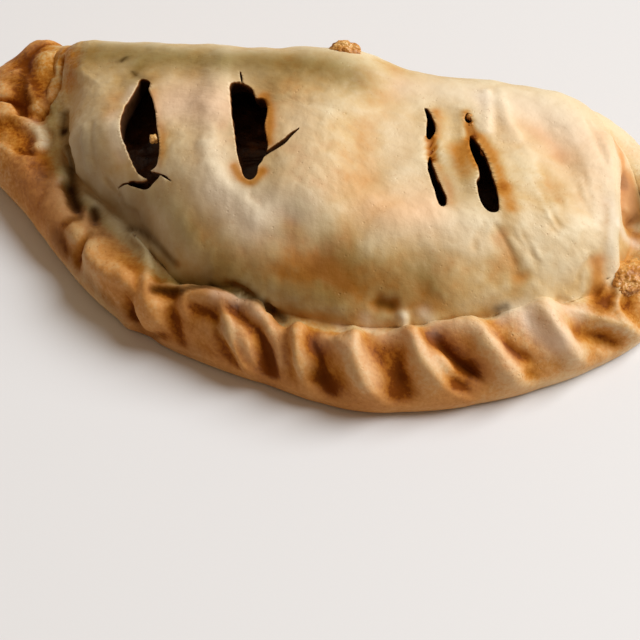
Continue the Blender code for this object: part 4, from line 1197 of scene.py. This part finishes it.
class Wiring:
    # a node tree with short ways to add and join nodes, whose inputs go by name, or as i0, i1 by number

    def __init__(self, tree):
        self.tree = tree

    def add(self, kind, settings=None, **inputs):
        node = self.tree.nodes.new(kind)
        for name, value in (settings or {}).items():
            setattr(node, name, value)
        for name, value in inputs.items():
            numbered = name[0] == "i" and name[1:].isdigit()
            socket = node.inputs[int(name[1:]) if numbered else name]
            if isinstance(value, bpy.types.NodeSocket):
                self.tree.links.new(value, socket)
            else:
                socket.default_value = value
        return node

    def mask(self, name):
        return self.add("ShaderNodeAttribute", {"attribute_name": name}).outputs["Fac"]

    def mix(self, amount, a, b, blend="MIX"):
        node = self.add("ShaderNodeMix", {"data_type": "RGBA", "blend_type": blend}, i0=amount, i6=a, i7=b)
        return node.outputs[2]

    def maths(self, kind, a, b=0.0, clamp=False):
        return self.add("ShaderNodeMath", {"operation": kind, "use_clamp": clamp}, i0=a, i1=b).outputs[0]

    def span(self, value, low, high, start=0.0, end=1.0):
        node = self.add("ShaderNodeMapRange", {"clamp": True}, i0=value, i1=low, i2=high, i3=start, i4=end)
        return node.outputs[0]

    def noise(self, place, scale, detail, rough):
        node = self.add("ShaderNodeTexNoise", None, Vector=place, Scale=scale, Detail=detail, Roughness=rough)
        return node.outputs[0]

    def bump(self, strength, distance, height):
        node = self.add("ShaderNodeBump", None, Strength=strength, Distance=distance, Height=height)
        return node.outputs[0]

    def ramp(self, value, stops):
        node = self.add("ShaderNodeValToRGB", None, Fac=value)
        for k, (where, colour) in enumerate(stops):
            stop = node.color_ramp.elements[k] if k < 2 else node.color_ramp.elements.new(where)
            stop.position = where
            stop.color = (*colour, 1.0)
        return node.outputs["Color"]

    def join(self, shader, values):
        for name, value in values.items():
            self.tree.links.new(value, shader.inputs[name])


def newMaterial(name):
    material = bpy.data.materials.new(name)
    material.use_nodes = True
    wiring = Wiring(material.node_tree)
    return material, wiring, material.node_tree.nodes["Principled BSDF"]


# the grain that dough, cheese and filling share. Noises: scale, detail, roughness. Spans: from, to
bakedGrain = {
    "specks": (900.0, 3.0, 0.6), "speckSpan": (0.58, 0.72), "patches": (160.0, 2.0, 0.5),
    "speckPatches": (0.45, 0.65), "porePatches": (0.5, 0.7), "poreScale": 620.0, "poreSpan": (0.22, 0.05),
    "fine": (520.0, 5.0, 0.62), "broad": (140.0, 3.0, 0.5),
    "fineHeight": 0.6, "broadHeight": 0.8, "poreDepth": 0.5,
}


def grainGroup():
    group = bpy.data.node_groups.new("bakedGrain", "ShaderNodeTree")
    group.interface.new_socket("place", in_out="INPUT", socket_type="NodeSocketVector")
    scale = group.interface.new_socket("scale", in_out="INPUT", socket_type="NodeSocketFloat")
    scale.default_value = 1.0
    for name in ("specks", "pores", "height"):
        group.interface.new_socket(name, in_out="OUTPUT", socket_type="NodeSocketFloat")
    wiring = Wiring(group)
    entry, leave = group.nodes.new("NodeGroupInput"), group.nodes.new("NodeGroupOutput")
    place = wiring.add("ShaderNodeVectorMath", {"operation": "SCALE"}, i0=entry.outputs["place"],
                       Scale=entry.outputs["scale"]).outputs[0]
    patches = wiring.noise(place, *bakedGrain["patches"])
    specks = wiring.span(wiring.noise(place, *bakedGrain["specks"]), *bakedGrain["speckSpan"])
    specks = wiring.maths("MULTIPLY", specks, wiring.span(patches, *bakedGrain["speckPatches"]))
    cells = wiring.add("ShaderNodeTexVoronoi", None, Vector=place, Scale=bakedGrain["poreScale"])
    pores = wiring.span(cells.outputs["Distance"], *bakedGrain["poreSpan"])
    pores = wiring.maths("MULTIPLY", pores, wiring.span(patches, *bakedGrain["porePatches"]))
    fine = wiring.maths("MULTIPLY", wiring.noise(place, *bakedGrain["fine"]), bakedGrain["fineHeight"])
    broad = wiring.maths("MULTIPLY", wiring.noise(place, *bakedGrain["broad"]), bakedGrain["broadHeight"])
    sunk = wiring.maths("MULTIPLY", pores, bakedGrain["poreDepth"])
    height = wiring.maths("SUBTRACT", wiring.maths("ADD", fine, broad), sunk)
    for name, value in (("specks", specks), ("pores", pores), ("height", height)):
        group.links.new(value, leave.inputs[name])
    return group


# colours of the dough: cream to deep brown make the ramp; the flour and peach colours also paint highlights,
# the grey, shade, char and wall colours paint shade
doughColours = {
    "cream": (0.72, 0.585, 0.36),
    "tan": (0.60, 0.40, 0.165),
    "golden": (0.53, 0.225, 0.034),
    "brown": (0.36, 0.115, 0.010),
    "deep": (0.20, 0.050, 0.004),
    "blushAndHighlight": (0.82, 0.45, 0.22),
    "greyAndShade": (0.22, 0.17, 0.105),
    "flourAndHighlight": (0.88, 0.76, 0.62),
    "shade": (0.45, 0.40, 0.22),
    "charAndShade": (0.035, 0.013, 0.003),
    "wall": (0.055, 0.018, 0.003),
}

doughLook = {
    # noises: scale, detail, roughness
    "cloud": (38.0, 3.0, 0.55), "mottle": (120.0, 4.0, 0.6), "grit": (950.0, 2.0, 0.6),
    # how far each makes the dough look baked: from, to, and what it adds at both; the raised mask paints
    # shade into hollows and highlight onto ridges
    "cloudBakes": (0.3, 0.75, -0.10, 0.16), "mottleBakes": (0.3, 0.7, -0.09, 0.11),
    "raisedLightAndShade": (0.0, 1.0, 0.50, -0.50), "gritBakes": (0.35, 0.65, -0.12, 0.12),
    "stops": ((0.0, "cream"), (1.0, "deep"), (0.28, "tan"), (0.55, "golden"), (0.84, "brown")),
    # masks that lay a colour over it, among them painted shade and painted highlight: how strongly
    "washes": (("greyedAndShaded", 0.7, "greyAndShade"), ("flouredAndHighlit", 0.75, "flourAndHighlight"), ("blushedAndHighlit", 0.55, "blushAndHighlight")),
    "specks": (0.0, 1.0, 0.25, 0.75), "insideBrown": (0.0, 0.3), "insideShade": (0.1, 0.6),
    "bumpStrength": (0.0, 1.0, 0.45, 0.9), "bumpHeight": 0.0006, "roughness": (0.3, 0.7, 0.46, 0.62),
    "gloss": (0.25, 0.7, 0.40, 0.04), "charShadeDulls": (0.0, 0.6, 1.0, 0.0), "plainGloss": 0.25,
}


def doughMaterial(grain):
    material, wiring, shader = newMaterial("baked dough")
    look = doughLook
    colour = {name: (*value, 1.0) for name, value in doughColours.items()}
    place = wiring.add("ShaderNodeTexCoord").outputs["Object"]
    grainNode = wiring.add("ShaderNodeGroup", {"node_tree": grain}, place=place, scale=1.0)
    crusty, charAndShading, inside = (wiring.mask(name) for name in ("crusty", "charredAndShaded", "inside"))
    mottle = wiring.noise(place, *look["mottle"])

    # how baked the dough looks, from cream to deep brown, with painted shade in hollows and painted highlight
    # on ridges
    baked = wiring.mask("brownedAndShaded")
    baked = wiring.maths("ADD", baked, wiring.span(wiring.noise(place, *look["cloud"]), *look["cloudBakes"]))
    baked = wiring.maths("ADD", baked, wiring.span(mottle, *look["mottleBakes"]))
    baked = wiring.maths("ADD", baked, wiring.span(wiring.mask("raised"), *look["raisedLightAndShade"]))
    grit = wiring.span(wiring.noise(place, *look["grit"]), *look["gritBakes"])
    baked = wiring.maths("ADD", baked, wiring.maths("MULTIPLY", grit, crusty), True)
    base = wiring.ramp(baked, [(where, doughColours[name]) for where, name in look["stops"]])

    # what lies over it: painted shade, grey tint with painted shade, flour with painted highlight, peach tint
    # with crest highlights, specks, char with painted shade, and painted shade down the cut walls
    base = wiring.mix(wiring.mask("shaded"), base, colour["shade"], "MULTIPLY")
    for mask, strength, name in look["washes"]:
        base = wiring.mix(wiring.maths("MULTIPLY", wiring.mask(mask), strength), base, colour[name])
    speckled = wiring.maths("MULTIPLY", grainNode.outputs["specks"], wiring.span(crusty, *look["specks"]))
    base = wiring.mix(speckled, base, colour["brown"])
    # char marks, and painted shade in gaps, holes and creases
    base = wiring.mix(charAndShading, base, colour["charAndShade"])
    base = wiring.mix(wiring.span(inside, *look["insideBrown"]), base, colour["brown"])
    # painted shade, darkest down the cut walls of the slits and the hollow
    base = wiring.mix(wiring.span(inside, *look["insideShade"]), base, colour["wall"])
    rough = wiring.span(crusty, *look["bumpStrength"])
    bump = wiring.bump(rough, look["bumpHeight"], grainNode.outputs["height"])
    dull = wiring.span(charAndShading, *look["charShadeDulls"])
    gloss = wiring.maths("MULTIPLY", wiring.span(baked, *look["gloss"]), dull)
    shader.inputs["Specular IOR Level"].default_value = look["plainGloss"]
    wiring.join(shader, {"Base Color": base, "Roughness": wiring.span(mottle, *look["roughness"]),
                         "Normal": bump, "Specular IOR Level": gloss})
    return material


# patchy finishes: the grain's scale, the patches' noise, their colours, bump and roughness
patchyLooks = {
    "baked cheese": {
        "grain": 1.4, "patches": (330.0, 4.0, 0.6), "bump": (0.6, 0.0005), "roughness": (0.3, 0.7, 0.30, 0.5),
        "stops": ((0.30, (0.74, 0.46, 0.17)), (0.74, (0.24, 0.065, 0.008)), (0.5, (0.56, 0.24, 0.04))),
    },
    "baked filling": {
        "grain": 0.8, "patches": (150.0, 4.0, 0.6), "bump": (0.6, 0.0008), "roughness": (0.3, 0.7, 0.25, 0.5),
        "stops": ((0.30, (0.03, 0.011, 0.003)), (0.75, (0.30, 0.095, 0.015)), (0.55, (0.10, 0.035, 0.007))),
    },
}


def patchyMaterial(name, grain):
    look = patchyLooks[name]
    material, wiring, shader = newMaterial(name)
    place = wiring.add("ShaderNodeTexCoord").outputs["Object"]
    grainNode = wiring.add("ShaderNodeGroup", {"node_tree": grain}, place=place, scale=look["grain"])
    patches = wiring.noise(place, *look["patches"])
    bump = wiring.bump(*look["bump"], grainNode.outputs["height"])
    wiring.join(shader, {"Base Color": wiring.ramp(patches, look["stops"]),
                         "Roughness": wiring.span(patches, *look["roughness"]), "Normal": bump})
    return material


# camera, light and floor

def placeCamera():
    right, up, back = shotAxes()
    lens = bpy.data.cameras.new("camera")
    lens.sensor_fit = "HORIZONTAL"
    lens.angle = math.radians(shot["view"])
    lens.clip_start = 0.01
    camera = linked("camera", lens)
    turn = Matrix((right, up, back)).transposed().to_4x4()
    turn.translation = (Vector(shotPlace()) - Vector((*planMiddle, 0.0))) * millimetre
    camera.matrix_world = turn
    bpy.context.scene.camera = camera


# metres and watts; the lamp looks at a point just above the floor
studio = {
    "lampPlace": (2.0, 1.02, 2.412), "lampAim": (0.0, 0.0, 0.02), "lampSize": 2.64, "lampPower": 146.0,
    "lampColour": (0.98, 1.0, 1.0), "airColour": (1.0, 0.72, 0.46), "airStrength": 0.28,
    "floorColour": (0.74, 0.75, 0.78), "floorRoughness": 0.55, "floorHalf": 2.5,
}


def lightStudio():
    light = bpy.data.lights.new("window", "AREA")
    light.shape = "DISK"
    light.size = studio["lampSize"]
    light.energy = studio["lampPower"]
    light.color = studio["lampColour"]
    lamp = linked("window", light)
    lamp.location = studio["lampPlace"]
    lamp.rotation_euler = (lamp.location - Vector(studio["lampAim"])).to_track_quat("Z", "Y").to_euler()
    world = bpy.data.worlds.new("studio")
    bpy.context.scene.world = world
    world.use_nodes = True
    air = world.node_tree.nodes["Background"]
    air.inputs["Color"].default_value = (*studio["airColour"], 1)
    air.inputs["Strength"].default_value = studio["airStrength"]
    bpy.context.scene.view_settings.view_transform = "Standard"


def layFloor():
    shape = bmesh.new()
    bmesh.ops.create_grid(shape, x_segments=1, y_segments=1, size=studio["floorHalf"])
    floor = linked("floor", meshFrom(shape, "floor"))
    material, _, shader = newMaterial("pale floor")
    shader.inputs["Base Color"].default_value = (*studio["floorColour"], 1)
    shader.inputs["Roughness"].default_value = studio["floorRoughness"]
    floor.data.materials.append(material)


placeCamera()
lightStudio()
layFloor()
print("studio set")
grain = grainGroup()
cheese = patchyMaterial("baked cheese", grain)
doughTree = buildCrust(doughMaterial(grain))
buildFilling(patchyMaterial("baked filling", grain))
for name, (centre, halves, turn, seed, node) in cheeseLumps.items():
    buildCheese(name, cheese, centre, halves, turn, seed, node)
buildCrumbs(doughTree, cheese)
